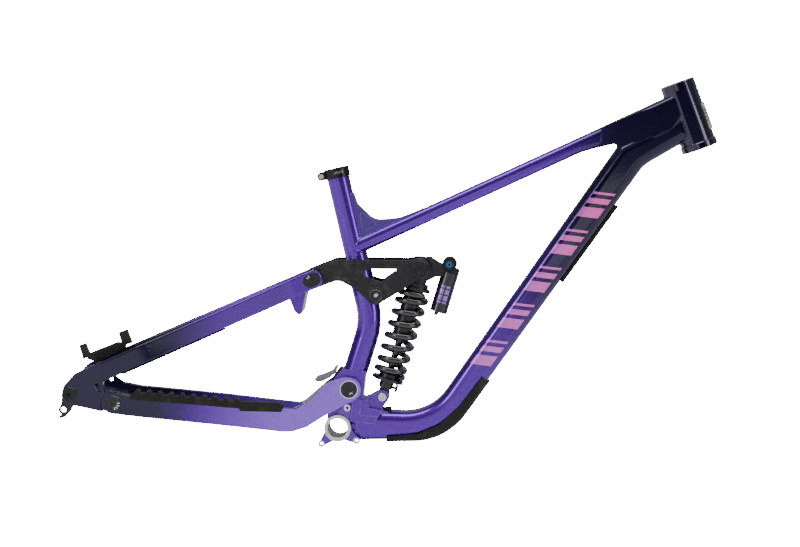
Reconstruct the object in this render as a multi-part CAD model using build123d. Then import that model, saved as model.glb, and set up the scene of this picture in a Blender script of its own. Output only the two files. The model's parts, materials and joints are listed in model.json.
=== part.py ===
from build123d import *
import math
import os

# Full-suspension mountain bike frame with a four-bar rear end and a coil shock.
# Millimetres. Origin: centre of the bottom bracket shell. +X forward, +Y to the rider's left, +Z up.
# "right" is the drive side (-Y). Side outlines are given as (x, z), plan outlines as (x, y).

# ---------- pivots and axes (x, z) ----------
MAIN_PIVOT = (11.5, 68.0)
REAR_PIVOT = (-377.0, 2.0)        # chainstay to dropout
REAR_AXLE = (-452.0, 8.5)
STAY_PIVOT = (-71.5, 245.2)       # seatstay to rocker
ROCKER_PIVOT = (37.5, 231.0)
SHOCK_TOP = (108.0, 286.0)
SHOCK_LENGTH = 230.0              # eye to eye
SHOCK_ANGLE = 80.0                # degrees above horizontal
HEAD_BOTTOM = (549.1, 539.8)
HEAD_ANGLE = 63.5
HEAD_LENGTH = 117.5
SEAT_TOP = (-54.7, 433.2)          # top of the tube, inside its clamp
SEAT_ANGLE = 70.3

# ---------- sections ----------
WALL = 2.5
HEAD_R = 29.5
HEAD_COLLAR_RISE = 1.8            # lower end of the head tube
HEAD_COLLAR_R = HEAD_R + HEAD_COLLAR_RISE
HEAD_FLAT_CUT = 1.2               # depth of the side flats
HEAD_FLAT = HEAD_R - HEAD_FLAT_CUT
HEAD_UPPER_BORE_R = 22.0
HEAD_LOWER_BORE_R = 26.0
HEAD_WAIST_R = 20.5
HEAD_UPPER_DEPTH = 18.0
HEAD_LOWER_DEPTH = 14.0
DOWN_WIDTH = 54.0
DOWN_EDGE_R = 17.0
TOP_WIDTH = 38.0
TOP_EDGE_R = 10.0
SEAT_R = 19.0
SEAT_SWELL = 1.2                   # below the rocker
SEAT_LOW_R = SEAT_R + SEAT_SWELL
SEAT_BORE_R = 15.8
SEAT_BORE_DEPTH = 185.0
SHELL_WIDTH = 73.0
SHELL_R = 22.5
SHELL_BORE_R = 17.2
GUIDE_BOSS_R = 5.6
GUIDE_BOLT_R = 2.6
GUIDE_FACE_Y = 34.0

# ---------- layers across the frame (distance from the centre plane) ----------
YOKE_STEP = 1.8                   # pivot barrel beyond the seat tube's side
YOKE_HALF = SEAT_LOW_R + YOKE_STEP
WEB_STEP = 9.0                    # forged web in front of the pivot, beyond the barrel
WEB_HALF = YOKE_HALF + WEB_STEP
ARM_THICK = 16.0                  # chainstay yoke beside the barrel
ARM_OUTER = YOKE_HALF + ARM_THICK
PLATE_INNER = 24.0                # rocker plates
PLATE_THICK = 8.4
PLATE_OUTER = PLATE_INNER + PLATE_THICK
STAY_GAP = 0.6                    # rocker plate to seatstay end
STAY_END_THICK = 11.0
STAY_INNER = PLATE_OUTER + STAY_GAP
STAY_OUTER = STAY_INNER + STAY_END_THICK
HUB_HALF = 74.0                   # inner faces of the dropouts
DROPOUT_THICK = 8.0
DROPOUT_OUTER = HUB_HALF + DROPOUT_THICK
TONGUE_SET = 1.6                  # the tongue's outer face beyond the hub face
TONGUE_THICK = 8.0
TONGUE_OUTER = HUB_HALF + TONGUE_SET
TONGUE_INNER = TONGUE_OUTER - TONGUE_THICK
EAR_THICK = 7.6
EAR_INNER = TONGUE_INNER - EAR_THICK
SHOCK_EYE_HALF = 11.0
SHOCK_EAR_THICK = 5.0
SHOCK_EAR_OUTER = SHOCK_EYE_HALF + SHOCK_EAR_THICK
TOP_EYE_HALF = 14.8

# ---------- hardware and fits ----------
RUN = 0.05                        # radial running clearance of a pin in a bearing
SIDE = 0.3                        # side clearance between bodies
SEAT_FIT = 0.02                   # clearance of pressed and bolted pieces in one body
MAIN_AXLE_R = 7.5
MAIN_BEARING_R = 14.0
SMALL_AXLE_R = 6.0
SMALL_BEARING_R = 10.5
SHOCK_BOLT_R = 4.0
OPEN_BORE_R = 9.2                 # bores at the two opened pivots of the linkage
AXLE_BORE_R = 6.0
SPRING_R = 23.0
WIRE_R = 5.4
SPRING_PITCH = 20.8
SPRING_TURN = 138.0               # where the wire starts, degrees round from the front

# ---------- derived directions ----------
HEAD_UP = (-math.cos(math.radians(HEAD_ANGLE)), math.sin(math.radians(HEAD_ANGLE)))
SEAT_DOWN = (math.cos(math.radians(SEAT_ANGLE)), -math.sin(math.radians(SEAT_ANGLE)))
SHOCK_UP = (math.cos(math.radians(SHOCK_ANGLE)), math.sin(math.radians(SHOCK_ANGLE)))
SHOCK_LOW = (SHOCK_TOP[0] - SHOCK_LENGTH * SHOCK_UP[0], SHOCK_TOP[1] - SHOCK_LENGTH * SHOCK_UP[1])

OUT = {}


# ---------- helpers ----------
def along(point, direction, distance):
    return (point[0] + direction[0] * distance, point[1] + direction[1] * distance)


def outline(*corners):
    """Closed face through (u, v) or (u, v, corner radius) corners."""
    sketch = make_face(Polyline(*[(c[0], c[1]) for c in corners], close=True))
    for corner in corners:
        if len(corner) == 3:
            spot = Vector(corner[0], corner[1], 0)
            near = min(sketch.vertices(), key=lambda v: (v.center() - spot).length)
            sketch = fillet(near, corner[2])
    return sketch


def disc(centre, radius):
    return Pos(centre[0], centre[1]) * Circle(radius)


def slab(sketch, y0, y1):
    """A side outline carried from y0 to y1."""
    return extrude(Plane.XZ.offset(-y1) * sketch, amount=y1 - y0, dir=(0, -1, 0))


def rod(centre, radius, y0, y1):
    return slab(disc(centre, radius), y0, y1)


def pair(solid):
    """The piece and its mirror image on the other side."""
    return [solid, mirror(solid, Plane.XZ)]


def rounded(sketch, width, radius):
    """A side outline as a tube body, its long edges rounded."""
    body = slab(sketch, -width / 2, width / 2)
    rims = body.edges().filter_by(lambda e: abs(abs(e.center().Y) - width / 2) < 1e-3)
    return fillet(rims, radius)


def axial(plane, radius, z0, z1):
    return plane.location * Pos(0, 0, (z0 + z1) / 2) * Cylinder(radius, z1 - z0)


def solids_of(shape):
    if isinstance(shape, (list, tuple)):
        return [s for item in shape for s in solids_of(item)]
    return list(shape.solids())


def keep(name, *shapes):
    found = solids_of(shapes)
    OUT[name] = found[0] if len(found) == 1 else Compound(children=found)


def biggest(shape):
    return max(shape.solids(), key=lambda s: s.volume)


# ---------- axes as planes ----------
def side_plane(point, direction):
    """Plane whose normal runs along a direction in the centre plane, +Y kept as its y."""
    normal = Vector(direction[0], 0, direction[1])
    return Plane(origin=(point[0], 0, point[1]), x_dir=Vector(0, 1, 0).cross(normal), z_dir=normal)


HEAD = side_plane(HEAD_BOTTOM, HEAD_UP)
SEAT = side_plane(SEAT_TOP, SEAT_DOWN)
SHOCK = side_plane(SHOCK_LOW, SHOCK_UP)


# ---------- front triangle ----------
def head_tube():
    body = axial(HEAD, HEAD_R, 0, HEAD_LENGTH)
    collar = 12.0
    flat_cut = HEAD.location * Pos(0, 0, HEAD_LENGTH / 2) * Box(
        4 * HEAD_R, 2 * HEAD_FLAT, HEAD_LENGTH - 2 * collar
    )
    middle = axial(HEAD, HEAD_R, collar, HEAD_LENGTH - collar)
    body = body - middle + (middle & flat_cut)
    body += axial(HEAD, HEAD_COLLAR_R, 0, collar)
    rim = body.faces().filter_by(lambda f: f.center().Z > 0).edges().filter_by(GeomType.CIRCLE)
    body = chamfer([e for e in rim if abs(e.radius - HEAD_COLLAR_R) < 1e-3], 1.2)
    body -= axial(HEAD, HEAD_WAIST_R, -1, HEAD_LENGTH + 1)
    body -= axial(HEAD, HEAD_LOWER_BORE_R, -1, HEAD_LOWER_DEPTH)
    body -= axial(HEAD, HEAD_UPPER_BORE_R, HEAD_LENGTH - HEAD_UPPER_DEPTH, HEAD_LENGTH + 1)
    return body


def down_outline():
    return outline(
        (16, -21), (183.5, 2.5, 150), (458.5, 501, 60), (534, 558), (519, 601),
        (413, 531, 40), (152, 43, 85), (16, 32),
    )


def top_outline():
    return outline((-12, 316.2), (505, 632), (520, 600), (470, 560), (352, 510.3, 100), (-12, 287.7))


HEAD_CORE = axial(HEAD, HEAD_R, -20, HEAD_LENGTH + 20)
SHELL_CORE = rod((0, 0), SHELL_R, -SHELL_WIDTH, SHELL_WIDTH)
DOWN_SOLID = rounded(down_outline(), DOWN_WIDTH, DOWN_EDGE_R)
TOP_SOLID = rounded(top_outline(), TOP_WIDTH, TOP_EDGE_R)

SEAT_STEP = 150.0                 # where the seat tube starts to swell, from its top
SEAT_CONE = 24.0
SEAT_KNEE_AT = 264.0
SEAT_FOOT = (15.5, 86.0)
SEAT_BEND_R = 110.0


def seat_body(upper, lower):
    """Straight upper tube, a short cone, and the bent lower tube."""
    start = along(SEAT_TOP, SEAT_DOWN, SEAT_STEP + SEAT_CONE)
    knee = along(SEAT_TOP, SEAT_DOWN, SEAT_KNEE_AT)
    path = Plane.XZ * FilletPolyline(start, knee, SEAT_FOOT, radius=SEAT_BEND_R)
    low = sweep(side_plane(start, SEAT_DOWN) * Circle(lower), path=path)
    cone = SEAT.location * Pos(0, 0, SEAT_STEP + SEAT_CONE / 2) * Cone(upper, lower, SEAT_CONE)
    return low + cone + axial(SEAT, upper, 0, SEAT_STEP)


SEAT_SOLID = seat_body(SEAT_R, SEAT_LOW_R)


def hollow(sketch, width, radius, solid):
    inner = rounded(offset(sketch, -WALL), width - 2 * WALL, radius - WALL)
    return solid - inner


def down_tube():
    tube = hollow(down_outline(), DOWN_WIDTH, DOWN_EDGE_R, DOWN_SOLID)
    return biggest(tube - HEAD_CORE - SHELL_CORE)


def top_tube():
    tube = hollow(top_outline(), TOP_WIDTH, TOP_EDGE_R, TOP_SOLID)
    return biggest(tube - HEAD_CORE - DOWN_SOLID - SEAT_SOLID)


BOSS_R = 14.0
BOSS_HALF = PLATE_INNER - SIDE


def seat_tube():
    tube = SEAT_SOLID - seat_body(SEAT_R - 2 * WALL, SEAT_LOW_R - WALL)
    tube -= axial(SEAT, SEAT_BORE_R, -1, SEAT_BORE_DEPTH)
    slot = SEAT.location * Pos(SEAT_R, 0, 14) * Box(10, 2.5, 28)
    return biggest(tube - slot - rod(ROCKER_PIVOT, BOSS_R, -40, 40))


def rocker_pivot_boss():
    return rod(ROCKER_PIVOT, BOSS_R, -BOSS_HALF, BOSS_HALF) - rod(ROCKER_PIVOT, SMALL_AXLE_R, -40, 40)


GUSSET_WIDTH = 24.0


def seat_tube_gusset():
    web = outline(
        (-36, 392), (-20, 396), (-12, 379, 10), (20, 355, 26), (60, 363.5, 60), (98, 383.5),
        (60, 352), (-14, 310),
    )
    pocket = outline((-7, 369, 3), (3, 335, 4), (26, 349, 3))
    body = slab(web, -GUSSET_WIDTH / 2, GUSSET_WIDTH / 2)
    for cut in pair(slab(pocket, GUSSET_WIDTH / 2 - 4, GUSSET_WIDTH / 2 + 1)):
        body -= cut
    return biggest(body - SEAT_SOLID - TOP_SOLID)


FLARE_WIDTH = 54.0
FLARE_EDGE_R = 9.0


def head_tube_gusset():
    """Flared cheeks that blend the two main tubes into the head tube."""
    side = outline((380, 555.6), (505, 632), (521, 600), (505, 565), (470, 528), (425, 492), (402, 503),
                   (413, 534, 5), (380, 522.1))
    half = FLARE_WIDTH / 2
    plan = outline((380, -TOP_WIDTH / 2), (470, -half), (560, -half), (560, half), (470, half),
                   (380, TOP_WIDTH / 2))
    body = rounded(side, FLARE_WIDTH, FLARE_EDGE_R) & extrude(plan, amount=700, dir=(0, 0, 1))
    return body - HEAD_CORE - DOWN_SOLID - TOP_SOLID


def bottom_bracket_shell():
    half = SHELL_WIDTH / 2
    return rod((0, 0), SHELL_R, -half, half) - rod((0, 0), SHELL_BORE_R, -half - 1, half + 1)


ARM_SWEEP_R = 22.0                # room for the round ends of the chainstay yoke


def main_pivot_yoke():
    core = outline(
        (-20, 8), (-21, 74, 14), (-4, 100), (36, 100), (36.5, 52, 3), (58, 66),
        (80, 60), (72, 38), (84, 36), (84, 20),
    )
    web = slab(core, -YOKE_HALF, YOKE_HALF)
    outer = outline((20, 14), (20, 60), (37, 50.8, 2), (57, 66), (80, 60), (67, 30), (60, 14))
    ear_layer = slab(outer, -WEB_HALF, WEB_HALF)
    barrel = rod(MAIN_PIVOT, 19.0, -YOKE_HALF, YOKE_HALF)
    body = web + barrel + ear_layer
    round_room = rod(MAIN_PIVOT, ARM_SWEEP_R, YOKE_HALF, 60) + rod(MAIN_PIVOT, ARM_SWEEP_R, -60, -YOKE_HALF)
    body -= round_room
    # the shock eye and its ears
    nose = outline((48, 40), (44, 59), (58, 66.5, 4), (100, 90), (100, 20), (76, 40), (66, 38))
    tip = disc(SHOCK_LOW, 11.5) + outline(
        (36, 40), (38, 53), along(SHOCK_LOW, (-0.53, 0.848), 11.5), SHOCK_LOW,
        along(SHOCK_LOW, (0.93, -0.37), 11.5), (64, 30), (40, 30),
    )
    body -= slab(nose, -60, 60)
    body += slab(tip, -SHOCK_EAR_OUTER, SHOCK_EAR_OUTER)
    eye_room = disc(SHOCK_LOW, 14.5) + outline((44, 90), along(SHOCK_LOW, (-1, 0), 14.5), SHOCK_LOW, (110, 80))
    body -= slab(eye_room, -SHOCK_EYE_HALF - SIDE, SHOCK_EYE_HALF + SIDE)
    body -= rod(SHOCK_LOW, SHOCK_BOLT_R + SEAT_FIT, -60, 60)
    body -= rod(MAIN_PIVOT, MAIN_AXLE_R + SEAT_FIT, -60, 60)
    for cut in pair(slab(outline((34, 27), (112, 27), (112, 110), (34, 110)), WEB_HALF - 2, 60)):
        body -= cut
    body = body - SEAT_SOLID - DOWN_SOLID - SHELL_CORE
    return biggest(body)


# chain guide bosses sit on a 100/100/160 degree pattern round the shell
GUIDE_PCD_R = 38.3
GUIDE_ANGLES = (71.5, -27.0, 231.0)


def guide_points():
    return [(GUIDE_PCD_R * math.cos(math.radians(a)), GUIDE_PCD_R * math.sin(math.radians(a)))
            for a in GUIDE_ANGLES]


def chain_guide_bosses():
    bosses = []
    for spot in guide_points():
        head = disc(spot, GUIDE_BOSS_R)
        reach = math.hypot(*spot)
        side = (-spot[1] / reach, spot[0] / reach)
        foot = (spot[0] * 0.5, spot[1] * 0.5)
        arm = outline(along(spot, side, 5.0), along(spot, side, -5.0),
                      along(foot, side, -11.0), along(foot, side, 11.0))
        body = slab(head, -GUIDE_FACE_Y, -22.5) + slab(arm, -GUIDE_FACE_Y + 3, -22.5)
        body -= rod(spot, GUIDE_BOLT_R, -60, -10)
        bosses.append(biggest(body - SHELL_CORE - DOWN_SOLID - YOKE))
    return bosses


YOKE = main_pivot_yoke()


def head_badge():
    plate = axial(HEAD, HEAD_R + 2.4, 26, 72) - axial(HEAD, HEAD_R, 20, 80)
    window = HEAD.location * Pos(HEAD_R, 0, 49) * Box(2 * HEAD_R, 26, 46)
    piece = plate & window
    return biggest(piece)


CLAMP_HEIGHT = 15.0
CLAMP_R = SEAT_R + 2.2


def seat_clamp_collar():
    ring = axial(SEAT, CLAMP_R, -1.5, CLAMP_HEIGHT)
    ear = SEAT.location * Pos(CLAMP_R + 1, 0, CLAMP_HEIGHT / 2 - 0.5) * Box(11, 15, CLAMP_HEIGHT - 1)
    round_end = clamp_bolt_hole(CLAMP_HEIGHT / 2 - 0.5, 7.5)
    body = ring + ear + round_end
    body -= axial(SEAT, SEAT_R + SEAT_FIT, 0, 30)
    body -= axial(SEAT, SEAT_BORE_R + 0.4, -5, 10)
    body -= SEAT.location * Pos(CLAMP_R + 4, 0, CLAMP_HEIGHT / 2) * Box(22, 3, 40)
    body -= clamp_bolt_hole(2.5 + SEAT_FIT, 20)
    return biggest(body)


def clamp_bolt_axis():
    return SEAT.location * Pos(CLAMP_R + 6.0, 0, CLAMP_HEIGHT / 2 - 0.5) * Rot(90, 0, 0)


def clamp_bolt_hole(radius, half):
    return clamp_bolt_axis() * Cylinder(radius, 2 * half)


def seat_clamp_bolt():
    spot = clamp_bolt_axis()
    head = spot * Pos(0, 0, 9.6) * Cylinder(4.2, 4.2)
    key = spot * Pos(0, 0, 11) * extrude(RegularPolygon(2.2, 6), 2)
    return clamp_bolt_hole(2.5, 7.5) + head - key


GUARD_THICK = 3.2


def down_tube_lower_guard():
    skin = outline((20, -25), (185.5, -1.5, 112), (462, 501, 60), (534, 558), (519, 601),
                   (413, 531, 40), (152, 43, 85), (20, 32))
    shell = rounded(skin, DOWN_WIDTH + 2 * GUARD_THICK, DOWN_EDGE_R + GUARD_THICK)
    zone = outline((84, -40), (84, -5.5), (136, 6), (170, 26), (200, 62), (232, 116), (262, 96), (230, -40))
    return biggest((shell & slab(zone, -40, 40)) - DOWN_SOLID)


def down_tube_upper_pad():
    skin = offset(down_outline(), 6.0, kind=Kind.INTERSECTION)
    shell = rounded(skin, DOWN_WIDTH, DOWN_EDGE_R)
    zone = outline((335, 300), (345, 290), (365, 285), (430, 400), (424, 428), (412, 428))
    return biggest((shell & slab(zone, -14, 14)) - DOWN_SOLID)


def mud_flap_base():
    wedge = outline((-23, 68.5), (-25.5, 73.7), (-21, 79.5), (-14, 92.4), (-9.7, 101, 2), (4, 97), (0, 74))
    return biggest(slab(wedge, -13, 13) - SEAT_SOLID - YOKE)


def mud_flap_tongue():
    leaf = outline((-50, 73.6, 1), (-47.5, 79.2, 2), (-34, 85.6, 12), (-22, 92.6, 6), (-16.4, 102.6, 1),
                   (-12.6, 101.4, 1), (-15, 90.6, 6), (-24.4, 80.5, 8), (-37, 72.6, 8), (-46.5, 71.8, 2))
    return biggest(slab(leaf, -12, 12) - mud_flap_base() - SEAT_SOLID)


def cable_grommet():
    spot = (79.0, 38.5)
    ring = Pos(spot[0], -8, spot[1]) * Rot(0, -8, 0) * Cylinder(7.5, 9)
    return biggest(ring - DOWN_SOLID - YOKE)


CAP_R = 13.6
CAP_DEPTH = 3.6


def main_pivot_axle():
    half = ARM_OUTER - CAP_DEPTH
    return rod(MAIN_PIVOT, MAIN_AXLE_R, -half, half) - rod(MAIN_PIVOT, 4.0, -60, 60)


def hex_key(centre, across, y0, y1):
    return slab(Pos(*centre) * RegularPolygon(across / 2, 6, major_radius=False), y0, y1)


def pivot_cap(centre, radius, inner_y, thick, key):
    cap = rod(centre, radius, inner_y, inner_y + thick)
    rim = cap.edges().filter_by(lambda e: abs(e.center().Y - inner_y - thick) < 1e-3)
    cap = chamfer(rim, 0.8)
    return cap - hex_key(centre, key, inner_y + thick - 2.2, inner_y + thick + 1)


def main_pivot_caps():
    return pair(pivot_cap(MAIN_PIVOT, CAP_R, ARM_OUTER - CAP_DEPTH, CAP_DEPTH + 0.4, 8.0))


def rocker_pivot_axle():
    half = PLATE_OUTER - 1.2
    return rod(ROCKER_PIVOT, SMALL_AXLE_R - SEAT_FIT, -half, half)


def rocker_pivot_caps():
    return pair(pivot_cap(ROCKER_PIVOT, SMALL_BEARING_R - 0.4, PLATE_OUTER - 1.2, 2.2, 6.0))


def shock_lower_bolt():
    shaft = rod(SHOCK_LOW, SHOCK_BOLT_R, -SHOCK_EAR_OUTER, SHOCK_EAR_OUTER)
    head = pivot_cap(SHOCK_LOW, 7.4, SHOCK_EAR_OUTER, 2.6, 5.0)
    return biggest(shaft + mirror(head, Plane.XZ) + head)


# ---------- chainstay ----------
JOINT_X = -75.0                   # where the stay tubes meet the yoke
ARM_END_R = 20.0


def yoke_side():
    blade = outline(
        (JOINT_X, 25.5), (-66, 30, 12), (-24, 77, 60), (0, 88, 12), (MAIN_PIVOT[0], MAIN_PIVOT[1] + ARM_END_R),
        MAIN_PIVOT, along(MAIN_PIVOT, (0.62, -0.785), ARM_END_R), (-20, 22, 40), (-52, -3, 40), (JOINT_X, -12.5),
    )
    return blade + disc(MAIN_PIVOT, ARM_END_R)


def yoke_plan(sign):
    inner = YOKE_HALF + SIDE
    return outline(
        (34, sign * inner), (34, sign * ARM_OUTER), (-18, sign * ARM_OUTER, 40), (JOINT_X, sign * 56),
        (JOINT_X, sign * 40), (-62, 0), (-44, 0), (-44, sign * inner, 8),
    )


def chainstay_yoke():
    side = slab(yoke_side(), -70, 70)
    half = extrude(Pos(0, 0, -40) * yoke_plan(1), amount=160, dir=(0, 0, 1))
    body = side & half
    body = body + mirror(body, Plane.XZ)
    bridge_low = slab(outline((-90, 60), (-90, 32), (-62, 34), (-40, 52), (-40, 100)), -YOKE_HALF, YOKE_HALF)
    body -= bridge_low
    body -= rod(MAIN_PIVOT, MAIN_BEARING_R + SEAT_FIT, -60, 60)
    return biggest(body)


def main_pivot_bearings():
    y1 = ARM_OUTER - CAP_DEPTH - SIDE
    ring = rod(MAIN_PIVOT, MAIN_BEARING_R, YOKE_HALF + SIDE + 1, y1) - rod(MAIN_PIVOT, MAIN_AXLE_R + RUN, 0, 60)
    return pair(ring)


def chainstay_plan():
    return outline(
        (JOINT_X, 40), (JOINT_X, 56), (-170, 62, 300), (-330, DROPOUT_OUTER, 200), (-420, DROPOUT_OUTER),
        (-420, EAR_INNER), (-330, EAR_INNER, 200), (-170, 47, 300),
    )


EAR_R = 17.5
REAR_HEAD_R = 13.2


def chainstay_left():
    profile = outline((JOINT_X, 25.5), (-200, 23.5, 300), (-350, 17.5), (REAR_PIVOT[0], REAR_PIVOT[1] + EAR_R),
                      REAR_PIVOT, (REAR_PIVOT[0] + 3, REAR_PIVOT[1] - EAR_R), (-340, -15.4, 60), (-90, -14.5),
                      (JOINT_X, -12.5))
    side = slab(profile + disc(REAR_PIVOT, EAR_R), 0, 100)
    body = side & extrude(Pos(0, 0, -60) * chainstay_plan(), amount=120, dir=(0, 0, 1))
    inner_side = slab(offset(outline((JOINT_X, 24.5), (-340, 15.0), (-340, -15.0), (JOINT_X, -12.5)), -WALL), 0, 100)
    core = inner_side & extrude(
        Pos(0, 0, -60) * offset(chainstay_plan(), -WALL), amount=120, dir=(0, 0, 1))
    body -= core
    fork = rod(REAR_PIVOT, EAR_R + 2.5, TONGUE_INNER - SIDE, TONGUE_OUTER + SIDE)
    fork += slab(outline((-420, 40), (REAR_PIVOT[0], 40), (REAR_PIVOT[0], -40), (-420, -40)),
                 TONGUE_INNER - SIDE, TONGUE_OUTER + SIDE)
    body -= fork
    body -= rod(REAR_PIVOT, SMALL_AXLE_R + SEAT_FIT, 0, 100)
    body -= rod(REAR_PIVOT, REAR_HEAD_R + 0.2, DROPOUT_OUTER - 1.5, 100)
    return biggest(body)


def rear_pivot_bolts():
    shaft = rod(REAR_PIVOT, SMALL_AXLE_R, EAR_INNER, DROPOUT_OUTER - 1.5)
    head = pivot_cap(REAR_PIVOT, REAR_HEAD_R, DROPOUT_OUTER - 1.5, 2.4, 6.0)
    return pair(biggest(shaft + head))


PROTECTOR_WALL = 3.0


def stay_wrap(profile):
    """A moulding over the top and sides of the right chainstay, cut to a side profile."""
    plan = extrude(Pos(0, 0, -60) * offset(chainstay_plan(), PROTECTOR_WALL), amount=120, dir=(0, 0, 1))
    return mirror(biggest((slab(profile, 0, 100) & plan) - STAY_LEFT), Plane.XZ)


def chainstay_protector():
    teeth = 10
    profile = outline((-350, 20), (-350, 13), (-160, 17.5), (-160, 28), (-340, 24.5, 3))
    profile += outline((-166, 13, 2), (-166, 28.5, 2), (-104, 34, 4), (-93, 30, 3), (-96, 19.5, 3))
    for i in range(teeth):
        profile += disc((-339 + 18.5 * i, 25 + 0.38 * i), 4.6)
    return stay_wrap(profile)


def yoke_edge_strip():
    strip = offset(yoke_side(), 2.2)
    zone = outline((-79, 24.6), (-79, 60), (-30, 100), (-18, 88), (-60, 30), (-66, 20))
    return biggest(slab(strip & zone, -50, -34) - CHAIN_YOKE - STAY_RIGHT)


# ---------- seatstay ----------
STAY_ANGLE = 30.3
STAY_BACK = (-math.cos(math.radians(STAY_ANGLE)), -math.sin(math.radians(STAY_ANGLE)))
STAY_TALL = 31.0
STAY_REACH = 384.0
STAY_END_R = 17.6
STAY_PLANE = Plane(origin=(STAY_PIVOT[0], 0, STAY_PIVOT[1]), x_dir=(STAY_BACK[0], 0, STAY_BACK[1]),
                   z_dir=(-STAY_BACK[1], 0, STAY_BACK[0]))


def stay_plan(shrink):
    """Plan of the left seatstay, distance back from its pivot against distance from the centre."""
    shape = outline(
        (-STAY_END_R, -STAY_INNER), (-STAY_END_R, -STAY_OUTER), (40, -STAY_OUTER - 1, 120), (190, -66, 200),
        (310, -DROPOUT_OUTER, 200), (STAY_REACH + 20, -DROPOUT_OUTER), (STAY_REACH + 20, -66),
        (300, -64, 200), (150, -45, 200), (60, -STAY_INNER, 120),
    )
    return offset(shape, -shrink) if shrink else shape


def stay_bar(shrink):
    tall = STAY_TALL - 2 * shrink
    sketch = STAY_PLANE * stay_plan(shrink)
    return extrude(sketch, amount=tall / 2, both=True)


def seatstay():
    bar = stay_bar(0)
    edges = bar.edges().filter_by(lambda e: e.length > 30)
    bar = fillet(edges, 3.5)
    # round nose about the pivot, and the weld face at the dropout
    nose = slab(outline((-110, 330), STAY_PIVOT, (-30, 200), (0, 330)), -100, 100)
    bar = (bar - nose) + (bar & rod(STAY_PIVOT, STAY_END_R, -100, 100))
    bar -= slab(outline((-406.0, 75), (-398.0, 36), (-390, 0), (-520, 0), (-520, 75)), -100, 100)
    core = stay_bar(WALL) - rod(STAY_PIVOT, 40, -100, 100)
    left = biggest(bar - core)
    if left.center().Y < 0:
        left = mirror(left, Plane.XZ)
    for cut in stay_end_cuts():
        left -= cut
    return biggest(left)


CAP_HALF = 4.0                    # half the straight of the pill-shaped pivot cap


def pill(half, radius):
    a = along(STAY_PIVOT, STAY_BACK, half)
    b = along(STAY_PIVOT, STAY_BACK, -half)
    n = (STAY_BACK[1], -STAY_BACK[0])
    bar = outline(along(a, n, radius), along(b, n, radius), along(b, n, -radius), along(a, n, -radius))
    return disc(a, radius) + disc(b, radius) + bar


def stay_end_cuts():
    return [slab(pill(CAP_HALF, 11.5 + SEAT_FIT), STAY_OUTER - 3, 100),
            rod(STAY_PIVOT, SHOCK_BOLT_R + SEAT_FIT, 0, STAY_OUTER)]


def seatstay_pivot_caps():
    cap = slab(pill(CAP_HALF, 11.5), STAY_OUTER - 3, STAY_OUTER + 0.3)
    cap -= hex_key(along(STAY_PIVOT, STAY_BACK, -CAP_HALF), 6.0, STAY_OUTER - 2, STAY_OUTER + 1)
    return pair(biggest(cap))


def seatstay_pivot_pins():
    return pair(rod(STAY_PIVOT, SHOCK_BOLT_R, PLATE_INNER + 1, STAY_OUTER - 3))


def seatstay_bridge():
    blade = outline((-106, 210), (-96, 191, 4), (-88, 183.5, 4), (-82, 186, 4), (-79, 226), (-96, 234))
    body = slab(blade, -40, 40)
    for side in pair(SEATSTAY_LEFT):
        body -= side
    arch = slab(outline((-125, 250), (-125, 170), (-60, 170), (-60, 250)), -STAY_INNER - 12, STAY_INNER + 12)
    return biggest(body & arch)


def dropout_left():
    plate = outline(
        (-465, 12, 10), (-463, 22, 8), (-447, 44, 12), (-426, 56.5, 30), (-406.0, 70), (-398.0, 37), (-394, 16, 4),
        (-394, -14), (-440, -9.5, 14), (-457, -8, 10),
    )
    body = slab(plate, HUB_HALF, DROPOUT_OUTER)
    heel = outline((-425, 57), (-406.0, 70), (-398.0, 37), (-396, 22), (-404, 20), (-418, 36))
    body += slab(heel, 66, DROPOUT_OUTER)
    tongue = disc(REAR_PIVOT, 15.5) + outline(
        (-425, 22), (-400, 30), along(REAR_PIVOT, (0.1, 0.995), 15.5), REAR_PIVOT,
        along(REAR_PIVOT, (-0.1, -0.995), 15.5), (-425, -10.5))
    body += slab(tongue, TONGUE_INNER, TONGUE_OUTER)
    window = outline((-411.5, 34, 2.5), (-402, 29.5, 2.5), (-398.5, 20, 2), (-405.5, 17.5, 2), (-411, 26, 2))
    body -= slab(window, 60, 100)
    body -= rod(REAR_PIVOT, EAR_R + 5, TONGUE_OUTER, 100)
    body -= rod(REAR_PIVOT, EAR_R + 5, 0, TONGUE_INNER)
    body -= rod(REAR_PIVOT, SMALL_BEARING_R + SEAT_FIT, 0, 100)
    return biggest(body)


def rear_pivot_bearings():
    ring = rod(REAR_PIVOT, SMALL_BEARING_R, TONGUE_INNER, TONGUE_OUTER) - rod(REAR_PIVOT, SMALL_AXLE_R + RUN, 0, 99)
    return pair(ring)


POST_TALL = 24.0


def brake_mount():
    n = (-0.425, 0.905)
    t = (0.905, 0.425)
    base = (-427.0, 65.5)
    rail = outline((-448, 54), (-444, 64, 3), (-400, 88, 3), (-384, 88), (-384, 80), (-430, 50))
    body = slab(rail, 56, 73.8)
    body -= slab(outline((-437, 61, 2), (-404, 79.5, 2), (-391, 81.5, 2), (-430, 56, 2)), 55, 61)
    for reach, half in ((-23.5, 5.5), (50.5, 7.5)):
        foot = along(base, t, reach)
        top = along(foot, n, POST_TALL)
        post = outline(along(foot, t, -half - 1), along(top, t, -half), along(top, t, half),
                       along(foot, t, half + 1))
        body += slab(post, 56, 73.8)
    for reach in (-23.5, 50.5):
        top = along(along(base, t, reach), n, POST_TALL)
        spot = Plane(origin=(top[0], 65, top[1]), z_dir=(n[0], 0, n[1]))
        body -= spot.location * Cylinder(2.6, 40)
    return body


HANGER_THICK = 4.5
EYE = (-459.5, -19.0)             # derailleur bolt
EYE_BORE_R = 4.6


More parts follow.
